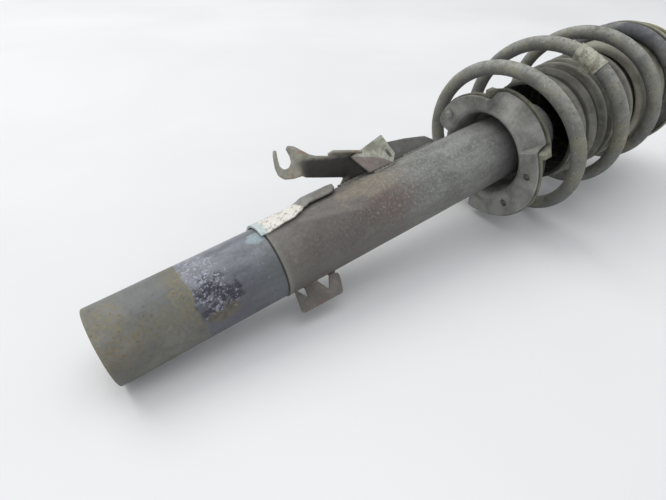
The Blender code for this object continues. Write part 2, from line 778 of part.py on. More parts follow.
def mount_core():
    bore = ROD_NECK_R + GAP
    outline = [(0.0, bore), (0.0, 18.6), (1.4, 20.0), (22.6, 20.0), (24.0, 18.6), (24.0, bore)]
    turned("mount_core", outline, "bright_steel", "top_mount_axis", CORE_X)


def rod_washer():
    bore = ROD_NECK_R + GAP
    outline = [(0.0, bore), (0.0, 22.0), (1.4, 24.0), (4.0, 24.0), (2.9, 20.0), (2.9, bore)]
    turned("rod_washer", outline, "zinc", "top_mount_axis", CORE_X + 24.0 + GAP)


def rod_nut():
    station = CORE_X + 24.0 + GAP + 2.9 + GAP
    thickness = 11.0
    across = Matrix.Rotation(pi / 2, 4, "Y")
    lift = Matrix.Translation((thickness / 2 * MM, 0.0, 0.0))
    corner_r = NUT_FLATS / 2 / cos(pi / 6)
    mesh = cylinder_mesh("rod_nut", corner_r, thickness, 6, lift @ across)
    obj = add_part("rod_nut", mesh, "zinc", "top_mount_axis", station)
    bore = cylinder_mesh("nut_bore", ROD_NECK_R + GAP, thickness * 2, 16, lift @ across)
    boolean(obj, bore, "DIFFERENCE")


def piston_rod():
    """Rod from the piston's spigot to the threaded top end."""
    shoulder = CORE_X - GAP - PISTON_X
    end = 614.0 - PISTON_X
    outline = [
        (0.0, 0.0), (0.0, 5.0), (1.0, 6.0), (27.6, 6.0), (27.6, ROD_R), (shoulder, ROD_R),
        (shoulder, ROD_NECK_R), (end - 1.5, ROD_NECK_R), (end, ROD_NECK_R - 1.5), (end, 0.0),
    ]
    turned("piston_rod", outline, "chrome", "top_mount_axis", PISTON_X)


def piston():
    skirt = PRESSURE_BORE_R - GAP
    outline = [
        (0.0, 6.0 + GAP), (0.0, 13.0), (3.0, skirt - 1.0), (4.0, skirt - 1.0), (4.0, skirt - 1.6),
        (11.0, skirt - 1.6), (11.0, skirt - 1.0), (13.0, skirt - 1.0), (15.6, 12.0), (15.6, 6.0 + GAP),
    ]
    turned("piston", outline, "bright_steel", "top_mount_axis", PISTON_X + 11.6)


def piston_ring():
    skirt = PRESSURE_BORE_R - GAP
    outline = [(0.0, skirt - 1.3), (0.0, skirt), (6.4, skirt), (6.4, skirt - 1.3)]
    turned("piston_ring", outline, "polymer", "top_mount_axis", PISTON_X + 11.6 + 4.3)


def piston_nut():
    across = Matrix.Rotation(pi / 2, 4, "Y")
    lift = Matrix.Translation((4.5 * MM, 0.0, 0.0))
    mesh = cylinder_mesh("piston_nut", 11.0, 9.0, 6, lift @ across)
    obj = add_part("piston_nut", mesh, "bright_steel", "top_mount_axis", PISTON_X + 2.2)
    bore = cylinder_mesh("piston_nut_bore", 6.0 + GAP, 20.0, 16, lift @ across)
    boolean(obj, bore, "DIFFERENCE")


def rebound_stop():
    bore = ROD_R + GAP
    outline = [(0.0, bore), (0.0, 14.6), (1.0, 15.4), (5.0, 15.4), (6.0, 14.6), (6.0, bore)]
    turned("rebound_stop", outline, "polymer", "top_mount_axis", 375.6)


PIECES = (
    damper_tube, base_cup, base_valve, pressure_tube, rod_guide, rod_seal, locating_plate,
    hose_bracket, bracket_gusset, bracket_back_plate, sensor_clip, lower_spring_seat,
    lower_spring_pad, coil_spring, spring_tag, upper_spring_seat, upper_spring_pad, dust_boot,
    bump_stop, bearing_lower_race, bearing_cage, bearing_balls, bearing_upper_race, mount_plate,
    mount_studs, mount_rubber, mount_core, rod_washer, rod_nut, piston_rod, piston, piston_ring,
    piston_nut, rebound_stop,
)
for build_piece in PIECES:
    build_piece()
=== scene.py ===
"""Looks of the strut assembly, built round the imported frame.

The strut lies along +X. Outlines, stations and radii are in millimetres until a
mesh is made. A clock angle of 0 degrees points up (+Z) and 90 points to +Y.
"""

from math import atan, atan2, ceil, cos, pi, radians, sin, sqrt, tan

import bmesh
import bpy
import numpy as np
from mathutils import Matrix, Vector, noise
from mathutils.geometry import delaunay_2d_cdt


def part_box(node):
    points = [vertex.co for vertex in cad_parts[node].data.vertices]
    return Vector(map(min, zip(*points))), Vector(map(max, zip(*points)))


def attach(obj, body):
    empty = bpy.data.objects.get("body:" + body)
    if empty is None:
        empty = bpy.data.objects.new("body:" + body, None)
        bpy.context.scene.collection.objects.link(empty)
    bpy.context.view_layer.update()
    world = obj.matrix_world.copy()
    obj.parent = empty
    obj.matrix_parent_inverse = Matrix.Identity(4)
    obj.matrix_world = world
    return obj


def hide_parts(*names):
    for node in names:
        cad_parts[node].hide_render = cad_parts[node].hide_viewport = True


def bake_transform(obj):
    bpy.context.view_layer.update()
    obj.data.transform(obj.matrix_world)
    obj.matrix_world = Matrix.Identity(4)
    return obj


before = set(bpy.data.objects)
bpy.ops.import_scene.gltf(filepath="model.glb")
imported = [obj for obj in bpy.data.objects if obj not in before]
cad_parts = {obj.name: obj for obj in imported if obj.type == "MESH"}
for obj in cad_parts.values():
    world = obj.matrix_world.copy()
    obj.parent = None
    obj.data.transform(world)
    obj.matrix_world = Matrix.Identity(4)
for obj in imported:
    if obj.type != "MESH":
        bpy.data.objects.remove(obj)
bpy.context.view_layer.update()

MM = 0.001
SCENE = bpy.context.scene


def span(node):
    """(low x, high x, outer radius) of a node, in millimetres."""
    low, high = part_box(node)
    return low.x / MM, high.x / MM, (high.z - low.z) / 2 / MM


_, TUBE_TOP, TUBE_R = span("damper_tube")
BAND_END = 122.0
BAND_START = 61.0
CLAMP_R = TUBE_R - 0.7
BORE_R = 25.0
ARM_CLOCK = 38.0
CLIP_CLOCK = -132.0
SEAT_X = span("lower_spring_seat")[0]
HUB_X = span("upper_spring_seat")[0]
BOOT_X = span("dust_boot")[0]
MOUNT_X = span("mount_plate")[0]


# ------------------------------------------------------------------ small maths


def around(clock, radius):
    """(y, z) at a clock angle and radius."""
    return radius * sin(radians(clock)), radius * cos(radians(clock))


def spot(x, clock, radius):
    """The place in metres of a station, clock angle and radius in millimetres."""
    return Vector((x * MM, *(v * MM for v in around(clock, radius))))


def shift_to(x, clock, radius):
    return Matrix.Translation(spot(x, clock, radius))


def mix(a, b, t):
    return a + (b - a) * t


def smooth(t):
    t = min(max(t, 0.0), 1.0)
    return t * t * (3 - 2 * t)


def radial_frame(clock):
    """Local X along the strut, local Y radial, local Z towards lower clocks."""
    return Matrix.Rotation(radians(90.0 - clock), 4, "X")


def across_frame(clock, x, radius):
    """Local Z along the strut, at a clock angle and radius."""
    return shift_to(x, clock, radius) @ Matrix.Rotation(pi / 2, 4, "Y")


def tangent_frame(clock, x, radius):
    """Local Z radial, at a clock angle and radius."""
    return shift_to(x, clock, radius) @ Matrix.Rotation(radians(-clock), 4, "X")


def filleted(points, radius, steps=3, closed=True, least=12.0):
    """The outline with its corners rounded; radius is one number or one a corner.

    Corners that turn by less than least degrees stay as they are.
    """
    count = len(points)
    rounded = []
    for i, corner in enumerate(points):
        size = radius[i] if isinstance(radius, (list, tuple)) else radius
        if size <= 0 or (not closed and i in (0, count - 1)):
            rounded.append(tuple(corner))
            continue
        here = Vector(corner)
        back = Vector(points[i - 1]) - here
        ahead = Vector(points[(i + 1) % count]) - here
        if back.length < 1e-6 or ahead.length < 1e-6:
            rounded.append(tuple(corner))
            continue
        turn = pi - back.angle(ahead)
        if turn < radians(least):
            rounded.append(tuple(corner))
            continue
        reach = min(size * tan(turn / 2), 0.45 * back.length, 0.45 * ahead.length)
        start = here + back.normalized() * reach
        end = here + ahead.normalized() * reach
        for k in range(steps + 1):
            t = k / steps
            point = start * (1 - t) ** 2 + here * 2 * t * (1 - t) + end * t * t
            rounded.append(tuple(point))
    return rounded


def resampled(points, step, closed=True):
    """The outline with no side longer than step."""
    fine = []
    count = len(points)
    for i in range(count if closed else count - 1):
        a, b = Vector(points[i]), Vector(points[(i + 1) % count])
        parts = max(1, ceil((b - a).length / step))
        fine += [tuple(a.lerp(b, k / parts)) for k in range(parts)]
    if not closed:
        fine.append(tuple(points[-1]))
    return fine


def curve_through(points, steps):
    """A Catmull-Rom curve through the points, with steps parts to each span."""
    out = []
    count = len(points)
    for i in range(count - 1):
        p0 = Vector(points[max(i - 1, 0)])
        p1, p2 = Vector(points[i]), Vector(points[i + 1])
        p3 = Vector(points[min(i + 2, count - 1)])
        for k in range(steps):
            t = k / steps
            out.append(tuple(0.5 * (
                2 * p1 + (p2 - p0) * t + (2 * p0 - 5 * p1 + 4 * p2 - p3) * t * t
                + (3 * p1 - p0 - 3 * p2 + p3) * t ** 3
            )))
    out.append(tuple(points[-1]))
    return out


# ------------------------------------------------------------------ mesh making


MERGE_GAP = 0.01 * MM


def shaded(mesh, angle):
    """The mesh shaded smooth, with sharp edges where it turns by more than angle."""
    mesh.shade_smooth()
    mesh.set_sharp_from_angle(angle=radians(angle))
    return mesh


def bare_mesh(name, bm):
    mesh = bpy.data.meshes.new(name)
    bm.to_mesh(mesh)
    bm.free()
    return mesh


def to_mesh(name, bm, angle=38.0):
    bmesh.ops.remove_doubles(bm, verts=bm.verts, dist=MERGE_GAP)
    bmesh.ops.recalc_face_normals(bm, faces=bm.faces)
    return shaded(bare_mesh(name, bm), angle)


def piece(name, mesh, material, body, replaces=()):
    """Links a finished mesh as one piece, riding on a body if one is given."""
    obj = bpy.data.objects.new(name, mesh)
    SCENE.collection.objects.link(obj)
    mesh.materials.clear()
    mesh.materials.append(material)
    if body:
        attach(obj, body)
    if replaces:
        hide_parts(*replaces)
    return obj


def lathe_mesh(name, outline, segments=96, wobble=None, angle=38.0):
    """The (x, r) outline turned about the axis; one that ends at r = 0 stays open."""
    bm = bmesh.new()
    solid = outline[0][1] < 1e-6 and outline[-1][1] < 1e-6
    rings = []
    for x, r in outline:
        if r < 1e-6:
            rings.append([bm.verts.new((x * MM, 0.0, 0.0))])
            continue
        ring = []
        for i in range(segments):
            clock = 360.0 * i / segments
            radius = r + (wobble(x, clock, r) if wobble else 0.0)
            ring.append(bm.verts.new(spot(x, clock, radius)))
        rings.append(ring)
    count = len(rings)
    for k in range(count - 1 if solid else count):
        a, b = rings[k], rings[(k + 1) % count]
        for i in range(segments):
            j = (i + 1) % segments
            if len(a) == 1 and len(b) == 1:
                break
            if len(a) == 1:
                bm.faces.new((a[0], b[i], b[j]))
            elif len(b) == 1:
                bm.faces.new((a[i], b[0], a[j]))
            else:
                bm.faces.new((a[i], b[i], b[j], a[j]))
    return to_mesh(name, bm, angle)


def loft_mesh(name, rings, angle=38.0, closed=False):
    """A skin over rings that share one point count, capped unless the last meets the first."""
    bm = bmesh.new()
    rows = [[bm.verts.new(place) for place in ring] for ring in rings]
    for low, high in list(zip(rows, rows[1:])) + ([(rows[-1], rows[0])] if closed else []):
        for i in range(len(low)):
            j = (i + 1) % len(low)
            bm.faces.new((low[i], low[j], high[j], high[i]))
    if not closed:
        bm.faces.new(rows[0])
        bm.faces.new(rows[-1][::-1])
    return to_mesh(name, bm, angle)


def sheet_mesh(name, outline, thickness, matrix, bend, grid, edge=0.6):
    """A sheet cut to a filleted outline, filled with points grid apart, its rim rolled by edge.

    bend(u, v) gives how far a point of the sheet moves out of its plane.
    """
    rim = resampled(outline, grid * 0.6)
    border = [Vector(p) for p in rim]
    points = list(border)
    edges = [(i, (i + 1) % len(rim)) for i in range(len(rim))]
    us, vs = [p[0] for p in rim], [p[1] for p in rim]
    row, v = 0, min(vs) + grid / 2
    while v < max(vs):
        u = min(us) + grid / 2 + (row % 2) * grid / 2
        while u < max(us):
            point = Vector((u, v))
            if all((point - p).length > grid * 0.55 for p in border):
                points.append(point)
            u += grid
        v += grid * 0.87
        row += 1
    made, _, faces, _, _, _ = delaunay_2d_cdt(points, edges, [], 2, 1e-6)
    keep = [f for f in faces if inside(sum((made[i] for i in f), Vector((0, 0))) / len(f), rim)]
    bm = bmesh.new()

    def place(p, side):
        return (p.x * MM, p.y * MM, (side * thickness / 2 + bend(p.x, p.y)) * MM)

    top = [bm.verts.new(place(p, 1)) for p in made]
    low = [bm.verts.new(place(p, -1)) for p in made]
    uses = {}
    for face in keep:
        bm.faces.new([top[i] for i in face])
        bm.faces.new([low[i] for i in reversed(face)])
        for a, b in zip(face, list(face[1:]) + [face[0]]):
            uses[frozenset((a, b))] = uses.get(frozenset((a, b)), []) + [(a, b)]
    rim_edges = []
    for pair in uses.values():
        if len(pair) == 1:
            a, b = pair[0]
            bm.faces.new((top[b], top[a], low[a], low[b]))
            rim_edges += [(top[a], top[b]), (low[a], low[b])]
    loose = [v for v in bm.verts if not v.link_faces]
    bmesh.ops.delete(bm, geom=loose, context="VERTS")
    bm.edges.ensure_lookup_table()
    soft = [e for e in (bm.edges.get(pair) for pair in rim_edges) if e]
    bmesh.ops.bevel(bm, geom=soft, offset=edge * MM, segments=2, affect="EDGES", profile=0.5)
    bm.transform(matrix)
    return to_mesh(name, bm, 50.0)


def inside(point, loop):
    """Whether the point is inside the loop, by the edges a line to one side crosses."""
    hits = 0
    for (ax, ay), (bx, by) in zip(loop, loop[1:] + loop[:1]):
        if (ay > point.y) != (by > point.y):
            if point.x < (bx - ax) * (point.y - ay) / (by - ay) + ax:
                hits += 1
    return hits % 2 == 1


def wire_rings(points, radius, sides, up=None, lump=None):
    """Rings of a round wire along points in metres; up holds a direction for each ring."""
    rings = []
    normal = None
    for i, point in enumerate(points):
        ahead = points[min(i + 1, len(points) - 1)] - points[max(i - 1, 0)]
        tangent = ahead.normalized()
        if up is not None:
            normal = up[i]
        elif normal is None:
            normal = tangent.orthogonal()
        normal = (normal - tangent * normal.dot(tangent)).normalized()
        side = tangent.cross(normal)
        ring = []
        for k in range(sides):
            a = 2 * pi * k / sides
            r = radius + (lump(i, a) if lump else 0.0)
            ring.append(point + (normal * cos(a) + side * sin(a)) * r * MM)
        rings.append(ring)
    return rings


def capped(rings, points, depth=0.35):
    """Wire rings with a narrowed ring at each end, for a broken edge on the cut."""
    first, last = points[0], points[-1]
    out_low = (points[0] - points[1]).normalized() * depth * MM
    out_high = (points[-1] - points[-2]).normalized() * depth * MM
    low = [first + (p - first) * 0.9 + out_low for p in rings[0]]
    high = [last + (p - last) * 0.9 + out_high for p in rings[-1]]
    return [low] + rings + [high]


def merged(name, meshes, angle=38.0):
    bm = bmesh.new()
    for mesh in meshes:
        bm.from_mesh(mesh)
        bpy.data.meshes.remove(mesh)
    return shaded(bare_mesh(name, bm), angle)


def cylinder_at(matrix, radius, depth, segments=32):
    bm = bmesh.new()
    bmesh.ops.create_cone(
        bm, cap_ends=True, segments=segments,
        radius1=radius * MM, radius2=radius * MM, depth=depth * MM,
    )
    bm.transform(matrix)
    return bare_mesh("cutter", bm)


def cut(mesh, cutters, operation="DIFFERENCE", angle=38.0):
    """The mesh after an exact Boolean with each cutter mesh."""
    holder = bpy.data.objects.new("holder", mesh)
    SCENE.collection.objects.link(holder)
    tools = []
    for cutter in cutters:
        tool = bpy.data.objects.new("cutter", cutter)
        SCENE.collection.objects.link(tool)
        modifier = holder.modifiers.new("cut", "BOOLEAN")
        modifier.operation = operation
        modifier.solver = "EXACT"
        modifier.object = tool
        tools.append(tool)
    bpy.context.view_layer.update()
    graph = bpy.context.evaluated_depsgraph_get()
    result = bpy.data.meshes.new_from_object(holder.evaluated_get(graph))
    name = mesh.name
    for obj in tools + [holder]:
        data = obj.data
        bpy.data.objects.remove(obj, do_unlink=True)
        bpy.data.meshes.remove(data)
    result.name = name
    return shaded(result, angle)


def thread_mesh(name, x0, x1, radius, pitch, depth, segments=40):
    """A threaded shank: a helical groove run in over its first and last turn."""
    rows = ceil((x1 - x0) / pitch * 8)
    bm = bmesh.new()
    rings = []
    for k in range(rows + 1):
        x = mix(x0, x1, k / rows)
        ring = []
        for i in range(segments):
            phase = (x / pitch + i / segments) % 1.0
            groove = depth * (1 - abs(phase * 2 - 1)) ** 0.8
            groove *= smooth((x - x0) / pitch) * smooth((x1 - x) / pitch)
            ring.append(bm.verts.new(spot(x, 360.0 * i / segments, radius - groove)))
        rings.append(ring)
    for a, b in zip(rings, rings[1:]):
        for i in range(segments):
            j = (i + 1) % segments
            bm.faces.new((a[i], b[i], b[j], a[j]))
    bm.faces.new(rings[0])
    bm.faces.new(rings[-1][::-1])
    return to_mesh(name, bm, 60.0)


# -------------------------------------------------------------------- materials


class Surface:
    """Builds one procedural material out of noise, ramps and patches."""

    def __init__(self, name, metallic=0.0, specular=0.5, moving=False):
        self.mat = bpy.data.materials.new(name)
        self.mat.use_nodes = True
        self.nodes = self.mat.node_tree.nodes
        self.links = self.mat.node_tree.links
        self.shader = self.nodes["Principled BSDF"]
        self.shader.inputs["Metallic"].default_value = metallic
        self.shader.inputs["Specular IOR Level"].default_value = specular
        if moving:
            rest = self.nodes.new("ShaderNodeAttribute")
            rest.attribute_name = "rest_place"
            self.place = rest.outputs["Vector"]
        else:
            self.place = self.nodes.new("ShaderNodeTexCoord").outputs["Object"]

    def feed(self, socket, value):
        if isinstance(value, bpy.types.NodeSocket):
            self.links.new(value, socket)
        elif isinstance(value, (tuple, list)) and len(value) == 3 and socket.type == "RGBA":
            socket.default_value = (*value, 1.0)
        else:
            socket.default_value = value

    def math(self, operation, *values):
        node = self.nodes.new("ShaderNodeMath")
        node.operation = operation
        for socket, value in zip(node.inputs, values):
            self.feed(socket, value)
        return node.outputs[0]

    def add(self, a, b):
        return self.math("ADD", a, b)

    def less(self, a, b):
        return self.math("SUBTRACT", a, b)

    def times(self, first, *others):
        for other in others:
            first = self.math("MULTIPLY", first, other)
        return first

    def split(self, vector):
        node = self.nodes.new("ShaderNodeSeparateXYZ")
        self.links.new(vector, node.inputs[0])
        return node.outputs

    def axes(self):
        """(x in mm, clock in degrees) of the shaded point."""
        x, y, z = self.split(self.place)
        return self.times(x, 1 / MM), self.times(self.math("ARCTAN2", y, z), 180 / pi)

    def radius(self):
        """Distance of the shaded point from the strut's axis, in mm."""
        _, y, z = self.split(self.place)
        return self.times(self.math("SQRT", self.add(self.times(y, y), self.times(z, z))), 1 / MM)

    def reach(self, clock):
        """How far the shaded point lies out towards a clock angle, in mm."""
        _, y, z = self.split(self.place)
        out_y, out_z = around(clock, 1 / MM)
        return self.add(self.times(y, out_y), self.times(z, out_z))

    def noise(self, size, detail=4.0, rough=0.55, warp=0.0, stretch=None):
        """A noise value with features about size millimetres across."""
        node = self.nodes.new("ShaderNodeTexNoise")
        node.inputs["Scale"].default_value = 1000.0 / size
        node.inputs["Detail"].default_value = detail
        node.inputs["Roughness"].default_value = rough
        node.inputs["Distortion"].default_value = warp
        place = self.place
        if stretch:
            scale = self.nodes.new("ShaderNodeVectorMath")
            scale.operation = "MULTIPLY"
            self.links.new(place, scale.inputs[0])
            scale.inputs[1].default_value = stretch
            place = scale.outputs[0]
        self.links.new(place, node.inputs["Vector"])
        return node.outputs["Fac"]

    def cells(self, size):
        node = self.nodes.new("ShaderNodeTexVoronoi")
        node.inputs["Scale"].default_value = 1000.0 / size
        self.links.new(self.place, node.inputs["Vector"])
        return node.outputs["Distance"]

    def ramp(self, value, low, high, start=0.0, end=1.0):
        """A smooth step from start to end as value goes from low to high."""
        node = self.nodes.new("ShaderNodeMapRange")
        node.interpolation_type = "SMOOTHSTEP"
        self.feed(node.inputs["Value"], value)
        for socket, number in zip(("From Min", "From Max", "To Min", "To Max"), (low, high, start, end)):
            node.inputs[socket].default_value = number
        return node.outputs[0]

    def spots(self, noise, low, high, share=1.0):
        """Spots of share where a noise of these settings passes from low to high."""
        return self.ramp(self.noise(*noise), low, high, 0.0, share)

    def blend(self, share, a, b):
        node = self.nodes.new("ShaderNodeMix")
        node.data_type = "RGBA"
        for index, value in ((0, share), (6, a), (7, b)):
            self.feed(node.inputs[index], value)
        return node.outputs[2]

    def coats(self, colour, *layers):
        """The colour under (share, paint) layers, the lowest one first."""
        for share, paint in layers:
            colour = self.blend(share, colour, paint)
        return colour

    def patch(self, x, clock, half_x, half_clock, ragged=0.35, size=7.0):
        """1 inside a ragged-edged patch at a station and clock angle, 0 outside."""
        here_x, here_clock = self.axes()
        dx = self.math("DIVIDE", self.less(here_x, x), half_x)
        dc = self.math("DIVIDE", self.less(here_clock, clock), half_clock)
        away = self.math("SQRT", self.add(self.times(dx, dx), self.times(dc, dc)))
        shift = self.times(self.less(self.noise(size, 5.0, 0.6), 0.5), 4 * ragged)
        return self.ramp(self.add(away, shift), 1.15, 0.75)

    def facing_up(self, low, high):
        """How much the surface faces the sky, for dust and for painted shade on undersides."""
        normal = self.nodes.new("ShaderNodeNewGeometry").outputs["Normal"]
        return self.ramp(self.split(normal)[2], low, high)

    def done(self, colour, roughness, height=None, bump_mm=0.0):
        """Feeds the shader; roughness is a value or a (noise, at low, at high) triple."""
        if isinstance(roughness, tuple):
            grain, at_low, at_high = roughness
            roughness = self.ramp(grain, 0.3, 0.7, at_low, at_high)
        self.feed(self.shader.inputs["Base Color"], colour)
        self.feed(self.shader.inputs["Roughness"], roughness)
        if height is not None:
            node = self.nodes.new("ShaderNodeBump")
            node.inputs["Strength"].default_value = 1.0
            node.inputs["Distance"].default_value = bump_mm * MM
            self.links.new(height, node.inputs["Height"])
            self.links.new(node.outputs[0], self.shader.inputs["Normal"])
        return self.mat


OCHRE = (0.245, 0.205, 0.115)
DUST = (0.330, 0.325, 0.285)


def tube_end_colour(s, x, clock, broad, streak):
    """Dirty olive paint below the knuckle clamp."""
    ochre = s.spots((2.6, 6.0, 0.70, 0.5), 0.40, 0.64)
    rusty = s.spots((2.3, 5.0, 0.65), 0.58, 0.66)
    stains = [
        (s.times(s.patch(*where), grain, share), paint)
        for where, grain, share, paint in (
            ((11.0, -18.0, 13.0, 26.0, 0.6, 8.0), ochre, 0.80, OCHRE),
            ((12.0, -66.0, 16.0, 22.0, 0.6, 8.0), ochre, 0.60, (0.22, 0.165, 0.10)),
            ((57.0, -30.0, 9.0, 62.0, 0.5, 6.0), ochre, 0.85, (0.235, 0.205, 0.115)),
            ((36.0, -58.0, 26.0, 18.0, 0.7, 6.0), ochre, 0.65, (0.195, 0.172, 0.100)),
            ((7.0, -50.0, 8.0, 42.0, 0.6, 6.0), rusty, 0.80, (0.21, 0.125, 0.065)),
        )
    ]
    return s.coats(
        s.blend(s.ramp(broad, 0.38, 0.62), (0.232, 0.233, 0.212), (0.158, 0.162, 0.150)),
        (s.spots((9.0, 6.0, 0.68, 0.5), 0.44, 0.64, 0.55), (0.128, 0.122, 0.094)),
        (s.times(s.patch(34.0, 2.0, 20.0, 30.0, 0.5, 12.0), 0.6), (0.165, 0.175, 0.182)),
        (s.ramp(streak, 0.45, 0.72, 0.0, 0.45), (0.190, 0.182, 0.140)),
        *stains,
        (s.times(rusty, 0.28), (0.22, 0.14, 0.06)),
        (s.ramp(x, 3.0, 0.4, 0.0, 0.55), (0.24, 0.21, 0.13)),
        # Painted shade: the paint darkens towards the lower clocks, on the tube's lower side.
        (s.ramp(clock, -45.0, -95.0, 0.0, 0.45), (0.085, 0.082, 0.068)),
        (s.spots((2.6, 3.0, 0.6), 0.62, 0.70, 0.6), (0.055, 0.050, 0.038)),
    )


def clamp_band_colour(s, x, clock, broad, streak):
    """Scuffed blue-grey metal with dark and pale flaking low on its lower half."""
    dark = s.times(s.patch(74.0, -58.0, 15.0, 30.0, 0.7, 7.0), s.spots((4.0, 5.0, 0.62, 0.6), 0.36, 0.52))
    pale = s.times(s.patch(70.0, -18.0, 13.0, 54.0, 0.7, 8.0), s.spots((2.1, 6.0, 0.72, 0.6), 0.52, 0.60))
    low = s.times(s.patch(76.0, -66.0, 13.0, 16.0, 0.6, 6.0), s.spots((2.4, 5.0, 0.7), 0.54, 0.62))
    return s.coats(
        s.blend(s.ramp(broad, 0.35, 0.65), (0.190, 0.196, 0.235), (0.270, 0.280, 0.322)),
        (s.ramp(streak, 0.40, 0.70, 0.0, 0.7), (0.095, 0.100, 0.120)),
        # Painted shade: the band darkens towards the lower clocks, on its lower side.
        (s.ramp(clock, -14.0, -66.0, 0.0, 0.76), (0.060, 0.062, 0.078)),
        (s.spots((5.0, 5.0, 0.65, 0.9), 0.50, 0.66, 0.5), (0.115, 0.125, 0.125)),
        (s.times(dark, 0.92), (0.020, 0.018, 0.034)),
        (s.times(pale, 0.8), (0.46, 0.46, 0.56)),
        (s.times(low, 0.7), (0.33, 0.32, 0.36)),
        (s.ramp(x, 98.0, 118.0, 0.0, 0.45), (0.125, 0.145, 0.138)),
        (s.spots((1.5, 3.0, 0.6), 0.66, 0.71, 0.45), (0.36, 0.38, 0.42)),
        (s.spots((1.9, 3.0, 0.6, 0.5), 0.62, 0.69, 0.6), (0.045, 0.045, 0.055)),
        (s.times(s.patch(76.0, -84.0, 12.0, 12.0, 0.6), 0.5), (0.14, 0.11, 0.06)),
        (s.times(s.patch(115.5, -2.0, 7.5, 12.0, 0.3, 5.0), 0.95), (0.30, 0.38, 0.41)),
    )


def tube_body_colour(s, x, clock, broad, streak):
    """Taupe paint with tan and red stains, greyer and dustier towards the spring seat."""
    veil = s.spots((5.5, 6.0, 0.68, 0.5), 0.40, 0.66)
    sandy = s.times(s.patch(214.0, -6.0, 32.0, 24.0, 0.6, 16.0), s.add(s.times(veil, 0.35), 0.5))
    red = s.times(s.patch(219.0, -52.0, 30.0, 24.0, 0.6, 16.0), s.add(s.times(veil, 0.4), 0.3))
    mark = s.add(clock, s.times(s.less(x, 170.0), 0.55))
    line = s.times(
        s.ramp(mark, -29.0, -23.0), s.ramp(mark, -12.0, -21.0), s.ramp(x, 128.0, 150.0),
        s.ramp(x, 212.0, 185.0), 0.40,
    )
    late = s.ramp(s.add(x, s.times(broad, 40.0)), 236.0, 290.0)
    grey = s.blend(s.ramp(streak, 0.36, 0.64), (0.160, 0.163, 0.150), (0.250, 0.256, 0.238))
    crumbs = s.times(s.spots((2.6, 6.0, 0.72, 0.4), 0.46, 0.70, 0.55), s.ramp(x, 190.0, 262.0, 0.2, 1.0))
    grains = s.times(s.spots((1.5, 4.0, 0.6), 0.56, 0.68, 0.5), s.ramp(x, 150.0, 262.0, 0.3, 1.0))
    # The rim mask holds a painted highlight along the step's edge just past the clamp band.
    rim = s.times(s.ramp(x, BAND_END - 0.2, BAND_END + 0.6), s.ramp(x, BAND_END + 5.0, BAND_END + 1.5))
    return s.coats(
        s.blend(s.ramp(broad, 0.35, 0.65), (0.140, 0.122, 0.112), (0.175, 0.158, 0.142)),
        (s.ramp(streak, 0.42, 0.70, 0.0, 0.5), (0.108, 0.099, 0.091)),
        (sandy, (0.262, 0.224, 0.168)),
        (red, (0.150, 0.092, 0.078)),
        (s.times(s.patch(165.0, -55.0, 36.0, 30.0, 0.5, 14.0), 0.5), (0.105, 0.092, 0.086)),
        (line, (0.240, 0.220, 0.190)),
        (late, grey),
        (crumbs, (0.36, 0.36, 0.33)),
        (s.times(grains, s.facing_up(-0.4, 0.6)), (0.50, 0.50, 0.46)),
        # Painted shade: the paint darkens towards the lower clocks, on the tube's lower side.
        (s.ramp(clock, -50.0, -105.0, 0.0, 0.4), (0.085, 0.080, 0.074)),
        (s.spots((2.9, 5.0, 0.66), 0.58, 0.70, 0.5), (0.055, 0.048, 0.043)),
        # Painted shadow: the tube darkens towards the spring seat, where the seat shades it.
        (s.ramp(x, 318.0, 336.0, 0.0, 0.45), (0.050, 0.045, 0.055)),
        # Painted highlight: a lighter rim along the step's edge.
        (s.times(rim, 0.55), (0.25, 0.24, 0.21)),
    )


def tube_finish():
    """The tube's three zones under one layer of fine dark dirt, with painted shade along the underside."""
    s = Surface("tube_worn_paint", specular=0.45)
    x, clock = s.axes()
    broad = s.noise(38.0, 3.0, 0.5, 0.6)
    fine = s.noise(2.2, 6.0, 0.65)
    streak = s.noise(9.0, 5.0, 0.6, 0.4, (0.35, 1.0, 1.0))
    end, band, body = (
        colour(s, x, clock, broad, streak)
        for colour in (tube_end_colour, clamp_band_colour, tube_body_colour)
    )
    wavy = s.add(x, s.times(s.less(s.noise(9.0, 4.0), 0.5), 7.0))
    seam = s.times(s.ramp(x, BAND_END - 1.3, BAND_END - 0.7), s.ramp(x, BAND_END + 0.3, BAND_END - 0.2))
    colour = s.coats(
        end,
        (s.ramp(wavy, BAND_START - 1.2, BAND_START + 1.2), band),
        (s.ramp(x, BAND_END - 0.6, BAND_END), body),
        (s.times(seam, 0.85), (0.03, 0.03, 0.028)),
        (s.ramp(fine, 0.30, 0.72, 0.30, 0.0), (0.05, 0.048, 0.042)),
        # Painted shade: darker along the underside.
        (s.ramp(clock, -120.0, -165.0, 0.0, 0.35), (0.06, 0.058, 0.05)),
    )
    on_band = s.times(s.ramp(x, BAND_START - 2, BAND_START + 2), s.ramp(x, BAND_END, BAND_END - 1))
    rough = s.add(s.ramp(fine, 0.3, 0.7, 0.52, 0.72), s.times(on_band, -0.17))
    height = s.add(s.times(fine, 0.6), s.times(s.noise(0.7, 3.0, 0.7), 0.35))
    height = s.add(height, s.times(on_band, s.noise(4.2, 4.0, 0.6), 0.9))
    return s.done(colour, rough, height, 0.20)


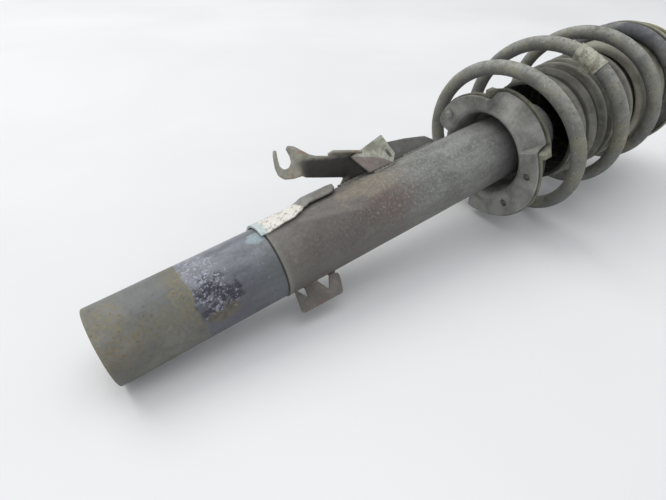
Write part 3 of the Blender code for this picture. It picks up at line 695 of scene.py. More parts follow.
def chipped_plate_finish():
    """Pale flaking paint with brown stains on the wide part, dark on the tongue."""
    s = Surface("chipped_pale_paint", specular=0.45)
    x, _ = s.axes()
    flake = s.spots((4.2, 6.0, 0.65, 0.8), 0.34, 0.50)
    tongue = s.ramp(s.add(x, s.times(s.noise(4.0, 3.0), 3.0)), 157.0, 159.6)
    dark = s.blend(s.spots((9.0, 5.0), 0.35, 0.65), (0.150, 0.140, 0.125), (0.240, 0.228, 0.205))
    colour = s.coats(
        s.blend(flake, (0.300, 0.250, 0.190), (0.72, 0.70, 0.64)),
        (s.spots((2.4, 5.0, 0.7, 0.5), 0.56, 0.66, 0.85), (0.175, 0.115, 0.065)),
        (s.spots((1.6, 4.0, 0.7), 0.60, 0.66, 0.7), (0.74, 0.73, 0.69)),
        (tongue, dark),
        (s.ramp(x, 127.0, 122.5, 0.0, 0.8), (0.43, 0.51, 0.52)),
    )
    height = s.add(s.noise(2.0, 5.0, 0.65), s.times(flake, 0.6))
    return s.done(colour, s.ramp(flake, 0.0, 1.0, 0.75, 0.5), height, 0.22)


def bracket_finish(name, light, dark, stain, rust_share, web=False):
    """Dusty thin paint over steel, with rust at bends and darker fine dirt; with web, painted shade darkens
    the arm's web under its flange.
    """
    s = Surface(name, specular=0.42)
    fine = s.noise(2.0, 6.0, 0.68)
    colour = s.coats(
        s.blend(s.spots((12.0, 5.0, 0.6, 0.5), 0.34, 0.66), dark, light),
        (s.spots((8.0, 4.0, 0.6, 0.8), 0.54, 0.68, rust_share), stain),
        (s.spots((3.0, 5.0, 0.7), 0.58, 0.70, 0.5), DUST),
        (s.ramp(fine, 0.30, 0.50, 0.45, 0.0), (0.07, 0.065, 0.055)),
    )
    if web:
        x, _ = s.axes()
        out = s.reach(ARM_CLOCK)
        crease = s.math("MULTIPLY_ADD", s.less(x, 176.0), -0.28, 59.5)
        below = s.less(crease, s.add(out, s.times(s.noise(5.0, 3.0), 3.0)))
        # Painted shade: the web below the crease, under the top flange, is darkened nearly to black; the foot
        # by the tube is painted back in the light tone.
        painted_web_shade = s.times(s.ramp(below, -2.0, 1.5), s.ramp(x, 171.0, 184.0), s.ramp(x, 246.0, 238.0), 0.90)
        foot = s.times(s.ramp(x, 216.0, 211.5), s.ramp(out, 34.0, 31.5), 0.85)
        colour = s.coats(colour, (painted_web_shade, (0.036, 0.034, 0.034)), (foot, light))
    height = s.add(s.times(fine, 0.8), s.noise(0.8, 3.0, 0.7))
    return s.done(colour, (fine, 0.55, 0.75), height, 0.16)


def seat_finish(name, light, dark, dust):
    """Dull painted pressing under road dust."""
    s = Surface(name, specular=0.38)
    fine = s.noise(1.8, 6.0, 0.7)
    colour = s.coats(
        s.blend(s.spots((22.0, 4.0, 0.55, 0.4), 0.34, 0.66), dark, light),
        (s.spots((6.0, 6.0, 0.68, 0.6), 0.50, 0.68, 0.45), (0.24, 0.23, 0.19)),
        (s.spots((1.7, 5.0, 0.7), 0.55, 0.68, dust), DUST),
        (s.ramp(fine, 0.30, 0.48, 0.4, 0.0), (0.05, 0.048, 0.042)),
    )
    height = s.add(s.times(fine, 0.7), s.times(s.noise(0.8, 3.0, 0.7), 0.5))
    return s.done(colour, (fine, 0.62, 0.80), height, 0.14)


def spring_finish():
    """Coated wire with road dust on top, ochre patches and chips, with painted shade on its undersides and at
    both ends.
    """
    s = Surface("spring_coating", specular=0.42, moving=True)
    x, _ = s.axes()
    cloud = s.noise(17.0, 4.0, 0.6, 0.5)
    fine = s.noise(1.7, 6.0, 0.68)
    # Painted shade: down-facing parts of the wire are darker and bluish.
    under = s.times(s.facing_up(0.15, -0.7), s.ramp(cloud, 0.30, 0.70, 0.4, 0.8))
    dust = s.times(s.facing_up(0.05, 0.95), s.spots((5.0, 5.0, 0.65), 0.30, 0.62, 0.6))
    # Painted shade: the start of the lowest coil, behind the seat's flange, is painted nearly black.
    painted_wire_end_shade = s.times(s.ramp(x, 366.0, 362.0, 0.0, 0.92), s.ramp(s.radius(), 64.0, 60.0))
    # Painted shade: the last turn, under the upper seat's lip, is darker and bluish.
    last = s.times(s.ramp(x, 520.0, 532.0), s.ramp(cloud, 0.30, 0.62, 0.85, 0.35))
    colour = s.coats(
        s.blend(s.ramp(cloud, 0.34, 0.66), (0.135, 0.137, 0.121), (0.215, 0.216, 0.190)),
        (s.spots((15.0, 6.0, 0.64, 0.6), 0.46, 0.64, 0.6), (0.240, 0.228, 0.145)),
        (under, (0.078, 0.078, 0.092)),
        (s.spots((6.0, 5.0, 0.65, 0.7), 0.58, 0.70, 0.45), (0.175, 0.130, 0.085)),
        (dust, (0.400, 0.400, 0.370)),
        (s.spots((3.2, 4.0, 0.6), 0.63, 0.69, 0.55), (0.47, 0.46, 0.42)),
        (s.spots((4.4, 4.0, 0.6, 0.4), 0.62, 0.69, 0.6), (0.060, 0.058, 0.055)),
        (painted_wire_end_shade, (0.016, 0.016, 0.015)),
        (last, (0.060, 0.062, 0.085)),
        (s.ramp(fine, 0.30, 0.50, 0.45, 0.0), (0.045, 0.044, 0.038)),
    )
    height = s.add(s.times(fine, 0.9), s.times(s.noise(4.5, 3.0), 0.8))
    return s.done(colour, (fine, 0.55, 0.75), height, 0.18)


def rubber_finish(name, base, dust_colour, dust, rough=0.82, moving=False):
    """Rubber with a dry bloom and dust that clings to it."""
    s = Surface(name, specular=0.32, moving=moving)
    fine = s.noise(1.4, 5.0, 0.7)
    colour = s.coats(
        base,
        (s.spots((14.0, 5.0, 0.6, 0.4), 0.36, 0.66, dust), dust_colour),
        (s.ramp(fine, 0.50, 0.70, 0.0, 0.30), dust_colour),
    )
    if moving:
        radius = s.radius()
        # Painted shade: nearly black in the valleys between the ribs and on the inside; the rib crests take a
        # little of the dust colour.
        colour = s.coats(
            colour,
            (s.ramp(radius, 48.6, 46.4, 0.0, 0.8), (0.020, 0.019, 0.016)),
            (s.ramp(radius, 50.6, 52.6, 0.0, 0.35), dust_colour),
        )
    height = s.add(s.times(fine, 0.6), s.times(s.noise(0.6, 2.0, 0.6), 0.4))
    return s.done(colour, (fine, rough - 0.08, rough + 0.08), height, 0.10)


def tag_finish():
    """Yellowed blank vinyl sleeve with dirt in its creases."""
    s = Surface("tag_vinyl", moving=True)
    colour = s.coats(
        s.blend(s.spots((5.0, 5.0, 0.65, 0.6), 0.35, 0.62), (0.225, 0.220, 0.160), (0.45, 0.44, 0.355)),
        (s.spots((2.2, 5.0, 0.7), 0.56, 0.66, 0.6), (0.62, 0.61, 0.54)),
        (s.spots((3.0, 4.0, 0.6, 1.2), 0.60, 0.68, 0.55), (0.10, 0.095, 0.07)),
    )
    return s.done(colour, 0.42, s.noise(2.4, 4.0, 0.6, 0.8), 0.35)


def metal_finish(name, colour, tarnish, rough, worn=0.5):
    """Bare or plated metal: fine turning grain with patchy tarnish."""
    s = Surface(name, metallic=1.0)
    grit = s.noise(0.9, 3.0, 0.6, 0.0, (1.0, 0.08, 0.08))
    cloud = s.noise(7.0, 5.0, 0.6, 0.5)
    shade = s.coats(
        colour,
        (s.ramp(cloud, 0.38, 0.68, 0.0, worn), tarnish),
        (s.ramp(grit, 0.35, 0.65, 0.25, 0.0), tarnish),
    )
    return s.done(shade, (cloud, rough, rough + 0.18), grit, 0.03)


def foam_finish():
    """Open-pored yellow foam."""
    s = Surface("foam_skin", specular=0.3)
    pores = s.cells(1.5)
    colour = s.blend(s.spots((9.0, 4.0), 0.35, 0.65), (0.46, 0.41, 0.24), (0.58, 0.53, 0.35))
    colour = s.blend(s.ramp(pores, 0.28, 0.10, 0.0, 0.5), colour, (0.30, 0.26, 0.15))
    return s.done(colour, 0.88, pores, 0.12)


def polymer_finish(name, colour):
    """Moulded plastic, a little lighter where it is rubbed."""
    s = Surface(name, specular=0.45)
    fine = s.noise(1.2, 4.0, 0.6)
    shade = s.blend(s.ramp(fine, 0.35, 0.65), colour, tuple(c * 1.8 + 0.01 for c in colour))
    return s.done(shade, (fine, 0.38, 0.55), fine, 0.05)


TUBE = tube_finish()
PLATE = chipped_plate_finish()
ARM = bracket_finish(
    "arm_paint", (0.330, 0.320, 0.265), (0.215, 0.205, 0.170), (0.290, 0.165, 0.095), 0.65, web=True
)
GUSSET = bracket_finish(
    "gusset_paint", (0.480, 0.478, 0.410), (0.210, 0.212, 0.165), (0.260, 0.200, 0.150), 0.6
)
# The inner facet's paint: pinkish, and darker than the upper facet's as painted shade.
GUSSET_INNER_SHADED = bracket_finish(
    "gusset_inner_paint_and_shade", (0.240, 0.205, 0.185), (0.165, 0.138, 0.125), (0.23, 0.17, 0.14), 0.5
)
BACK = bracket_finish(
    "back_plate_paint", (0.155, 0.152, 0.145), (0.105, 0.103, 0.098), (0.15, 0.12, 0.095), 0.3
)
CLIP = bracket_finish("clip_paint", (0.175, 0.160, 0.142), (0.115, 0.105, 0.095), (0.170, 0.105, 0.090), 0.5)
WELD = bracket_finish("weld_metal", (0.200, 0.190, 0.165), (0.105, 0.100, 0.088), (0.200, 0.110, 0.055), 0.5)
SEAT = seat_finish("seat_paint", (0.275, 0.275, 0.255), (0.130, 0.130, 0.119), 0.6)
HUB = seat_finish("hub_paint", (0.290, 0.278, 0.220), (0.185, 0.178, 0.138), 0.4)
MOUNT = seat_finish("mount_paint", (0.300, 0.285, 0.150), (0.190, 0.180, 0.095), 0.3)
SPRING = spring_finish()
PAD = rubber_finish("pad_rubber", (0.100, 0.098, 0.075), (0.250, 0.245, 0.195), 0.75)
PEG = rubber_finish("peg_rubber", (0.210, 0.210, 0.185), (0.360, 0.355, 0.320), 0.8)
TOP_PAD = rubber_finish("top_pad_rubber", (0.050, 0.050, 0.046), (0.150, 0.150, 0.135), 0.5)
BOOT = rubber_finish("boot_rubber", (0.110, 0.107, 0.092), (0.250, 0.244, 0.205), 0.7, 0.8, moving=True)
BUSH = rubber_finish("bush_rubber", (0.030, 0.030, 0.028), (0.095, 0.095, 0.088), 0.45)
TAG = tag_finish()
ZINC = metal_finish("yellow_zinc", (0.60, 0.53, 0.35), (0.34, 0.29, 0.20), 0.34)
STEEL = metal_finish("machined_steel", (0.56, 0.56, 0.57), (0.33, 0.32, 0.30), 0.28)
CHROME = metal_finish("hard_chrome", (0.72, 0.72, 0.74), (0.62, 0.62, 0.65), 0.10, worn=0.3)
FOAM = foam_finish()
NYLON = polymer_finish("nylon", (0.035, 0.035, 0.038))


# ------------------------------------------------------------------ damper body


def damper_tube():
    top = TUBE_TOP
    outline = filleted([
        (0.0, BORE_R), (0.0, CLAMP_R), (BAND_END - 0.9, CLAMP_R), (BAND_END - 0.5, CLAMP_R - 0.5),
        (BAND_END, CLAMP_R - 0.5), (BAND_END + 0.3, TUBE_R + 0.25), (BAND_END + 1.6, TUBE_R + 0.25),
        (BAND_END + 2.6, TUBE_R), (top - 4.0, TUBE_R), (top - 1.0, TUBE_R - 1.4), (top, TUBE_R - 4.0),
        (top, 20.6), (top - 1.6, 20.6), (top - 1.6, BORE_R),
    ], [0.4, 1.3, 0.2, 0.15, 0.15, 0.3, 0.4, 0.8, 2.5, 1.5, 1.5, 0.5, 0.3, 0.0], 4)

    def wobble(x, clock, r):
        if r < CLAMP_R - 2:
            return 0.0
        place = Vector((x * 0.02, *(v * 0.03 for v in around(clock, r))))
        return 0.16 * noise.noise(place * 1.6) * smooth(x / 12.0)

    mesh = lathe_mesh("damper_tube", resampled(outline, 5.0), 112, wobble)
    piece("tube_shell", mesh, TUBE, "damper_body", ["damper_tube"])


def base_cup():
    low, high, rim = span("base_cup")
    outline = filleted([
        (low, 0.0), (low, 11.0), (low + 0.8, 13.5), (low + 0.8, 20.5), (low, 22.5), (low, rim), (high, rim),
        (high, rim - 4.7), (low + 4.0, 17.0), (low + 4.0, 0.0),
    ], 0.8, 3, closed=False)
    bead = [
        (low + 0.9 + 0.9 * cos(radians(a)), BORE_R - 0.2 + 1.0 * sin(radians(a))) for a in range(0, 360, 30)
    ]
    cup = lathe_mesh("base_cup", outline)
    ring = lathe_mesh("bead", bead, 96, lambda x, c, r: 0.12 * sin(radians(c * 26)))
    piece("end_cap", merged("end_cap", [cup, ring]), TUBE, "damper_body", ["base_cup"])


def plate_edges(x):
    """The arc lengths at which the locating plate's two edges run, either side of its middle."""
    knots = [
        (118.0, -23.6, 23.6), (146.0, -22.0, 21.6), (153.0, -19.2, 13.0), (159.0, -16.6, 6.0),
        (164.0, -15.0, 4.0), (191.0, -15.0, 4.0),
    ]
    low, high = knots[-1][1:]
    for (x0, l0, h0), (x1, l1, h1) in zip(knots, knots[1:]):
        if x <= x1:
            t = smooth((x - x0) / (x1 - x0))
            low, high = mix(l0, l1, t), mix(h0, h1, t)
            break
    nose = max(0.0, x - 180.5)
    half = sqrt(max(0.2, 9.5 ** 2 - nose ** 2))
    middle = (low + high) / 2
    return (low, high) if nose == 0.0 else (middle - half, middle + half)


def locating_plate():
    """A formed plate on the clamp's edge; its tongue stands off the tube."""
    low, high, _ = span("locating_plate")
    stations = [mix(low + 0.2, high - 0.1, i / 58) for i in range(59)]
    across = [mix(-1.0, 1.0, k / 28) for k in range(29)]
    bm = bmesh.new()
    rows = []
    for x in stations:
        low_edge, high_edge = plate_edges(x)
        step = smooth((x - 157.0) / 8.0)
        row = []
        for t in across:
            ragged = 0.9 * noise.noise(Vector((x * 0.22, 3.0 if t > 0 else 9.0, 0.0))) * abs(t) ** 6
            arc = mix(low_edge, high_edge, (t + 1) / 2) + ragged * t * smooth((172.0 - x) / 12.0)
            lift = 1.5 * smooth((x - 124.0) / 20.0) * abs(t) ** 3 * (1 - step)
            dent = 0.35 * noise.noise(Vector((x * 0.09, arc * 0.09, 1.0)))
            inner = mix(28.5, 30.4, step) + lift + dent * 0.6 + 0.15
            outer = mix(30.3, 33.2, step) + lift + dent
            outer -= 0.5 * abs(t) ** 12 + 0.9 * step * abs(t) ** 3
            clock = ARM_CLOCK + arc / 29.0 * 180 / pi
            row.append((
                bm.verts.new(spot(x, clock, outer)),
                bm.verts.new(spot(x, clock, inner)),
            ))
        rows.append(row)
    for a, b in zip(rows, rows[1:]):
        for k in range(len(across) - 1):
            bm.faces.new((a[k][0], a[k + 1][0], b[k + 1][0], b[k][0]))
            bm.faces.new((a[k][1], b[k][1], b[k + 1][1], a[k + 1][1]))
        for k in (0, -1):
            bm.faces.new((a[k][0], b[k][0], b[k][1], a[k][1]))
    for row in (rows[0], rows[-1]):
        for p, q in zip(row, row[1:]):
            bm.faces.new((p[0], q[0], q[1], p[1]))
    mesh = to_mesh("locating_plate", bm, 45.0)
    piece("clamp_tongue", mesh, PLATE, "damper_body", ["locating_plate"])


def hose_bracket():
    """The hook plate runs into an arm whose web folds away under a top flange."""
    corners = [
        (210.5, 33.4, 1.0), (190.0, 41.4, 6.0), (177.0, 46.7, 6.0), (167.0, 47.6, 5.0), (159.6, 49.8, 5.0),
        (156.4, 54.2, 5.0), (156.4, 60.0, 5.0), (158.8, 69.3, 5.0), (160.6, 72.6, 0.9), (162.8, 71.6, 0.9),
        (161.2, 66.0, 5.0), (160.2, 60.0, 3.0), (162.4, 56.4, 3.0), (166.6, 56.6, 3.0), (170.2, 59.8, 3.0),
        (171.2, 64.6, 3.0), (170.7, 70.0, 1.0), (172.6, 72.0, 1.6), (177.4, 69.8, 4.0), (186.2, 59.8, 4.0),
        (190.6, 57.0, 2.0), (202.6, 52.4, 2.0), (220.4, 46.9, 2.0), (232.0, 44.0, 1.0), (236.0, 27.2, 1.0),
        (205.5, 27.2, 1.0), (207.4, 30.2, 1.5),
    ]
    outline = filleted([c[:2] for c in corners], [c[2] for c in corners], 4)

    def bend(u, v):
        crease = mix(60.2, 44.2, (u - 176.0) / 44.0)
        below = max(0.0, crease - v)
        arm = smooth((u - 172.0) / 9.0)
        fold = -0.75 * below * arm * (1 - smooth((u - 212.0) / 14.0))
        tip = 1.4 * smooth((166.0 - u) / 9.0) * smooth((v - 62.0) / 10.0)
        return fold + tip + 0.5 * noise.noise(Vector((u * 0.05, v * 0.05, 0.0)))

    arm = sheet_mesh("hose_bracket", outline, 2.6, radial_frame(ARM_CLOCK), bend, 2.4)
    start, end = Vector((200.6, 55.2)), Vector((226.0, 45.6))
    length, along = (end - start).length, (end - start).normalized()
    down = Vector((end.y - start.y, start.x - end.x)).normalized()
    strip = [(0.0, 0.0), (length, 0.0), (length - 0.8, 8.6), (0.8, 8.9)]
    flat = Matrix((
        (along.x, 0.0, down.x, (start.x + down.x * 0.9) * MM),
        (along.y, 0.0, down.y, (start.y + down.y * 0.9) * MM),
        (0.0, 1.0, 0.0, 0.6 * MM),
        (0.0, 0.0, 0.0, 1.0),
    ))
    top = sheet_mesh(
        "flange", filleted(strip, [0.2, 0.2, 1.6, 1.6], 4), 2.2, radial_frame(ARM_CLOCK) @ flat,
        lambda u, v: -0.22 * smooth(v / 9.0), 2.4,
    )
    mesh = merged("arm", [arm, top], 50.0)
    piece("hose_arm", mesh, ARM, "damper_body", ["hose_bracket"])


def folded_sheet(name, corners, faces, thickness, matrix):
    """A sheet folded along the edges its flat faces share, with softened folds and rims."""
    bm = bmesh.new()
    verts = [bm.verts.new(corner * MM) for corner in corners]
    for face in faces:
        bm.faces.new([verts[i] for i in face])
    bmesh.ops.triangulate(bm, faces=bm.faces[:])
    bmesh.ops.subdivide_edges(bm, edges=bm.edges[:], cuts=5, use_grid_fill=True)
    middle = [v for v in bm.verts if not v.is_boundary and v.link_faces]
    for _ in range(2):
        bmesh.ops.smooth_vert(bm, verts=middle, factor=0.5, use_axis_x=True, use_axis_y=True, use_axis_z=True)
    loose = [v for v in bm.verts if not v.link_faces]
    bmesh.ops.delete(bm, geom=loose, context="VERTS")
    bmesh.ops.recalc_face_normals(bm, faces=bm.faces)
    bmesh.ops.solidify(bm, geom=bm.faces[:], thickness=thickness * MM)
    rim = [e for e in bm.edges if len(e.link_faces) == 2 and e.calc_face_angle() > radians(60)]
    bmesh.ops.bevel(bm, geom=rim, offset=0.5 * MM, segments=2, affect="EDGES", profile=0.5)
    bm.transform(matrix)
    return to_mesh(name, bm, 50.0)


def bracket_gusset():
    """A folded brace: a bright upper facet with a slotted lip, an inner facet below whose pinkish paint is
    darkened as painted shade.
    """
    left, spike, lip = Vector((214.5, 45.2, 7.5)), Vector((247.6, 51.6, 8.0)), Vector((252.4, 33.4, 8.4))
    low_lip, middle = Vector((246.6, 26.8, 9.4)), Vector((237.0, 34.6, 10.8))
    tip = Vector((222.2, 27.9, 11.0))
    place = radial_frame(ARM_CLOCK)

    corners = [left, spike, lip, low_lip, middle, tip]
    upper = folded_sheet("gusset", corners, [(0, 1, 4), (1, 2, 3, 4)], 2.2, place)
    centre = Vector((246.2, 35.4, 9.2))
    run, side = (spike - lip).normalized(), (middle - lip).normalized()
    turn = Matrix((side, run, side.cross(run))).transposed().to_4x4()
    long_hole = place @ Matrix.Translation(centre * MM) @ turn @ Matrix.Scale(2.1, 4, (0, 1, 0))
    upper = cut(upper, [cylinder_at(long_hole, 2.0, 12.0, 20)], angle=50.0)
    lower = folded_sheet("gusset_inner", corners, [(0, 4, 5), (4, 3, 5)], 2.2, place)
    piece("gusset_top", upper, GUSSET, "damper_body", ["bracket_gusset"])
    piece("gusset_inner", lower, GUSSET_INNER_SHADED, "damper_body", ())


def bracket_back_plate():
    outline = filleted([
        (238.0, 28.0), (262.0, 27.0), (299.0, 26.8), (301.0, 30.5), (292.6, 36.2), (272.0, 41.4),
        (252.0, 45.0), (242.0, 43.0),
    ], [1.0, 4.0, 0.6, 1.4, 2.0, 6.0, 3.0, 2.0], 4)

    def bend(u, v):
        return -3.0 * smooth((u - 287.0) / 14.0) + 0.4 * noise.noise(Vector((u * 0.07, v * 0.07, 4.0)))

    mesh = sheet_mesh("back_plate", outline, 2.4, radial_frame(ARM_CLOCK), bend, 2.6)
    piece("arm_back_plate", mesh, BACK, "damper_body", ["bracket_back_plate"])


def sensor_clip():
    outline = filleted([
        (127.5, 27.4), (129.0, 27.4), (134.6, 36.6), (135.6, 27.4), (146.0, 27.4), (151.8, 38.6),
        (157.0, 28.4), (163.4, 30.4), (163.8, 33.2), (160.5, 44.4), (158.8, 45.6), (127.2, 44.8),
        (125.2, 43.2),
    ], [0.4, 0.4, 0.5, 0.4, 0.4, 0.6, 1.0, 1.0, 1.5, 1.5, 1.5, 1.5, 1.0], 4)

    def bend(u, v):
        return -1.6 * smooth((u - 152.0) / 10.0) + 0.5 * noise.noise(Vector((u * 0.08, v * 0.08, 7.0)))

    mesh = sheet_mesh("clip", outline, 2.0, radial_frame(CLIP_CLOCK), bend, 2.2, 0.45)
    piece("lead_clip", mesh, CLIP, "damper_body", ["sensor_clip"])


def weld_beads():
    """Lumpy weld runs at the feet of the brackets and round the seat's collar."""
    runs = []
    for clock, offset, start, end in (
        (ARM_CLOCK, 2.4, 198.0, 234.0), (ARM_CLOCK, -2.6, 199.0, 234.0), (ARM_CLOCK, -2.4, 262.0, 298.0),
        (ARM_CLOCK, 2.4, 262.0, 292.0), (CLIP_CLOCK, 2.0, 136.0, 146.0), (CLIP_CLOCK, -2.0, 136.0, 146.0),
        (CLIP_CLOCK, 2.0, 157.5, 163.0), (ARM_CLOCK, 11.5, 226.0, 246.0),
    ):
        turn = offset / TUBE_R * 180 / pi
        count = ceil((end - start) / 1.2)
        line = []
        for i in range(count + 1):
            x = mix(start, end, i / count)
            line.append(Vector((x, *around(clock - turn, TUBE_R - 0.2))) * MM)
        runs.append(line)
    collar = []
    for i in range(116):
        clock = 74.0 - 261.0 * i / 115
        collar.append(Vector((388.4, *around(clock, TUBE_R + 0.5))) * MM)
    runs.append(collar)
    meshes = []
    for k, line in enumerate(runs):
        rings = wire_rings(
            line, 1.5, 10, lump=lambda i, a, k=k: 0.32 * sin(i * 1.9 + k) + 0.12 * sin(3 * a + i)
        )
        meshes.append(loft_mesh("bead", capped(rings, line), 60.0))
    piece("weld_beads", merged("weld_beads", meshes, 60.0), WELD, "damper_body", ())


# ------------------------------------------------------------ lower spring seat

SEAT_START, SEAT_SWEEP = 79.0, 267.0
SEAT_STOP = SEAT_START - SEAT_SWEEP
SEAT_MOUTH_R = 43.9
RAISED_FROM, RAISED_TO = 0.0, -66.0
PEGS = (60.0, -92.0, -140.0)
PEG_RADIUS = 48.6
PAD_LEAD = 2.4
TAB_WIDTH = 5.2


def raised_share(clock, margin=0.0):
    """1 where the seat is raised, 0 elsewhere, with a short step between."""
    depth = min(RAISED_FROM - clock, clock - RAISED_TO) + margin
    return smooth(depth / 2.0 + 0.5)


def seat_edge_r(clock):
    """The flange's edge; past its two ends only the neck closes the ring."""
    if clock < SEAT_STOP - 0.05:
        return SEAT_MOUTH_R
    if clock > RAISED_FROM:
        near_end = max(0.0, 1.0 - (SEAT_START - clock) / 9.0)
        return mix(51.0, 57.8, clock / SEAT_START) - 7.0 * (1.0 - sqrt(1.0 - near_end ** 2))
    return mix(57.0, 61.0, smooth((RAISED_TO - clock) / 60.0))


def seat_section(clock):
    k = raised_share(clock)
    edge = seat_edge_r(clock)
    return [
        (374.0, TUBE_R + 0.3), (371.0, 31.0), (366.0, 33.6), (350.0, 35.9), (344.4, 37.6),
        (SEAT_X, 41.0),
        (mix(SEAT_X, 362.0, k), mix(edge, 52.5, k)),
        (mix(SEAT_X + 2.8, 363.6, k), mix(edge, 50.2, k)),
        (mix(345.0, 347.6, k), mix(43.6, 41.3, k)), (347.0, 40.2), (352.0, 38.9), (367.0, 36.6),
        (374.0, 34.0), (379.0, 31.4), (388.0, 31.4), (388.0, TUBE_R + 0.3),
    ]


def fine_clocks(edges):
    """Clock angles along the flange, closer together beside each edge."""
    clocks = []
    clock = SEAT_START
    while clock >= SEAT_STOP - 0.01:
        clocks.append(clock)
        near = min(abs(clock - e) for e in edges)
        clock -= 3.0 if near > 4.2 else 0.4
    clocks.append(SEAT_STOP)
    return sorted(set(round(c, 3) for c in clocks), reverse=True)


def ring_at(section, clock):
    return [spot(x, clock, r) for x, r in section]


def rounded_ring(section, clock, radius):
    return ring_at(filleted(section, radius, 3, True, -1.0), clock)


def lower_seat():
    sizes = [0.0, 2.0, 3.0, 6.0, 4.0, 3.4, 0.8, 0.8, 3.0, 2.0, 4.0, 4.0, 4.0, 2.0, 0.8, 0.3]
    gap = 360.0 - SEAT_SWEEP
    past = [SEAT_STOP - 0.8 - (gap - 1.6) * i / 30 for i in range(31)]
    clocks = fine_clocks((RAISED_FROM, RAISED_TO)) + past
    rings = [rounded_ring(seat_section(clock), clock, sizes) for clock in clocks]
    mesh = loft_mesh("lower_seat", rings, 40.0, closed=True)
    cutters = [
        cylinder_at(across_frame(clock, SEAT_X + 1.5, PEG_RADIUS), 3.5, 9.0) for clock in PEGS
    ]
    mesh = cut(mesh, cutters, angle=40.0)
    piece("spring_pan", mesh, SEAT, "damper_body", ["lower_spring_seat"])


def tab_share(clock):
    """1 on the small tabs just beyond the raised part, 0 elsewhere."""
    beyond = max(clock - RAISED_FROM, RAISED_TO - clock)
    return smooth(min(beyond - PAD_LEAD + 1.2, PAD_LEAD + TAB_WIDTH - beyond) / 0.8)


def pad_section(clock):
    k = raised_share(clock, PAD_LEAD)
    tab = tab_share(clock)
    front = SEAT_X + 3.3
    back = front + 2.4 + 5.5 * tab
    edge = seat_edge_r(clock) + 1.4 + 4.2 * tab + 0.25 * sin(radians(clock * 9))
    return [
        (mix(front, 350.4, k), mix(44.6, 41.9, k)),
        (mix(front, 364.3, k), mix(edge - 1.0, 49.5, k)),
        (mix(front, 364.1, k), mix(edge, 53.6, k)),
        (mix(back, 366.8, k), mix(edge, 53.6, k)),
        (mix(back, 366.6, k), mix(edge - 1.0, 48.6, k)),
        (mix(back, 351.6, k), mix(44.6, 39.9, k)),
    ]


def lower_pad():
    beside = (-PAD_LEAD - TAB_WIDTH, -PAD_LEAD, 0, PAD_LEAD, PAD_LEAD + TAB_WIDTH)
    edges = [edge + step for edge in (RAISED_FROM, RAISED_TO) for step in beside]
    rings = []
    for clock in fine_clocks(edges):
        rings.append(rounded_ring(pad_section(clock), clock, [0.4, 0.4, 0.7, 0.7, 0.5, 0.4]))
    meshes = [loft_mesh("lower_pad", rings, 40.0)]
    for clock in PEGS:
        proud = clock > 0
        if proud:
            outline = [
                (-2.8, 0.0), (-2.8, 2.6), (-1.4, 4.0), (-0.2, 4.2), (-0.2, 3.25), (5.0, 3.25), (5.0, 0.0),
            ]
        else:
            outline = [(2.0, 0.0), (2.0, 2.6), (3.0, 3.25), (5.0, 3.25), (5.0, 0.0)]
        peg = lathe_mesh("peg", filleted(outline, 1.1, 4, False), 32)
        peg.transform(shift_to(SEAT_X, clock, PEG_RADIUS))
        if proud:
            piece("pad_peg", peg, PEG, "damper_body", ())
        else:
            meshes.append(peg)
    mesh = merged("lower_pad", meshes, 40.0)
    piece("spring_pad", mesh, PAD, "damper_body", ["lower_spring_pad"])


# ------------------------------------------------------------------ coil spring

WIRE_R = 6.15
FIRST_TURN, LAST_TURN = -0.685, 3.25
SPRING_LOW, SPRING_TOP = 354.6, 541.2
TAG_TURNS = (1.150, 1.204)
COIL_CLOCK = ARM_CLOCK + 0.3


def coil_rise(turn):
    """How many pitches a turn has climbed; the coils are flat at both ends."""
    def eased(t, start, width):
        u = min(max((t - start) / width, 0.0), 1.0)
        return width * (u ** 3 - u ** 4 / 2) + max(t - start - width, 0.0)
    return eased(turn, -0.32, 0.5) - eased(turn, 2.72, 0.5)


def coil_radius(turn):
    lower = mix(49.0, 70.0, smooth((turn + 0.47) / 0.34))
    belly = mix(lower, 71.0, smooth(turn / 0.8))
    return mix(belly, 61.6, smooth((turn - 1.0) / 2.0)) - 0.45 - 2.6 * smooth((turn - 2.5) / 0.5)


def coil_share(turn):
    """How far up the spring a turn is, from 0 to 1."""
    return coil_rise(turn) / coil_rise(LAST_TURN)


def coil_point(turn):
    share = coil_share(turn)
    x = mix(SPRING_LOW, SPRING_TOP, share)
    y, z = around(COIL_CLOCK - 360.0 * turn, coil_radius(turn))
    bow_y, bow_z = around(42.0, 4.6 * sin(pi * share))
    return Vector((x, y + bow_y, z + bow_z)) * MM


def coil_out(turn):
    y, z = around(COIL_CLOCK - 360.0 * turn, 1.0)
    return Vector((0.0, y, z))


def rest_mesh(name, rings, faces, angle):
    """A mesh over rings of points that also remembers where each point rests."""
    points = [tuple(p) for ring in rings for p in ring]
    mesh = bpy.data.meshes.new(name)
    mesh.from_pydata(points, [], faces)
    bm = bmesh.new()
    bm.from_mesh(mesh)
    bmesh.ops.recalc_face_normals(bm, faces=bm.faces)
    bm.to_mesh(mesh)
    bm.free()
    rest = mesh.attributes.new("rest_place", "FLOAT_VECTOR", "POINT")
    rest.data.foreach_set("vector", np.array(points, np.float32).ravel())
    return shaded(mesh, angle)


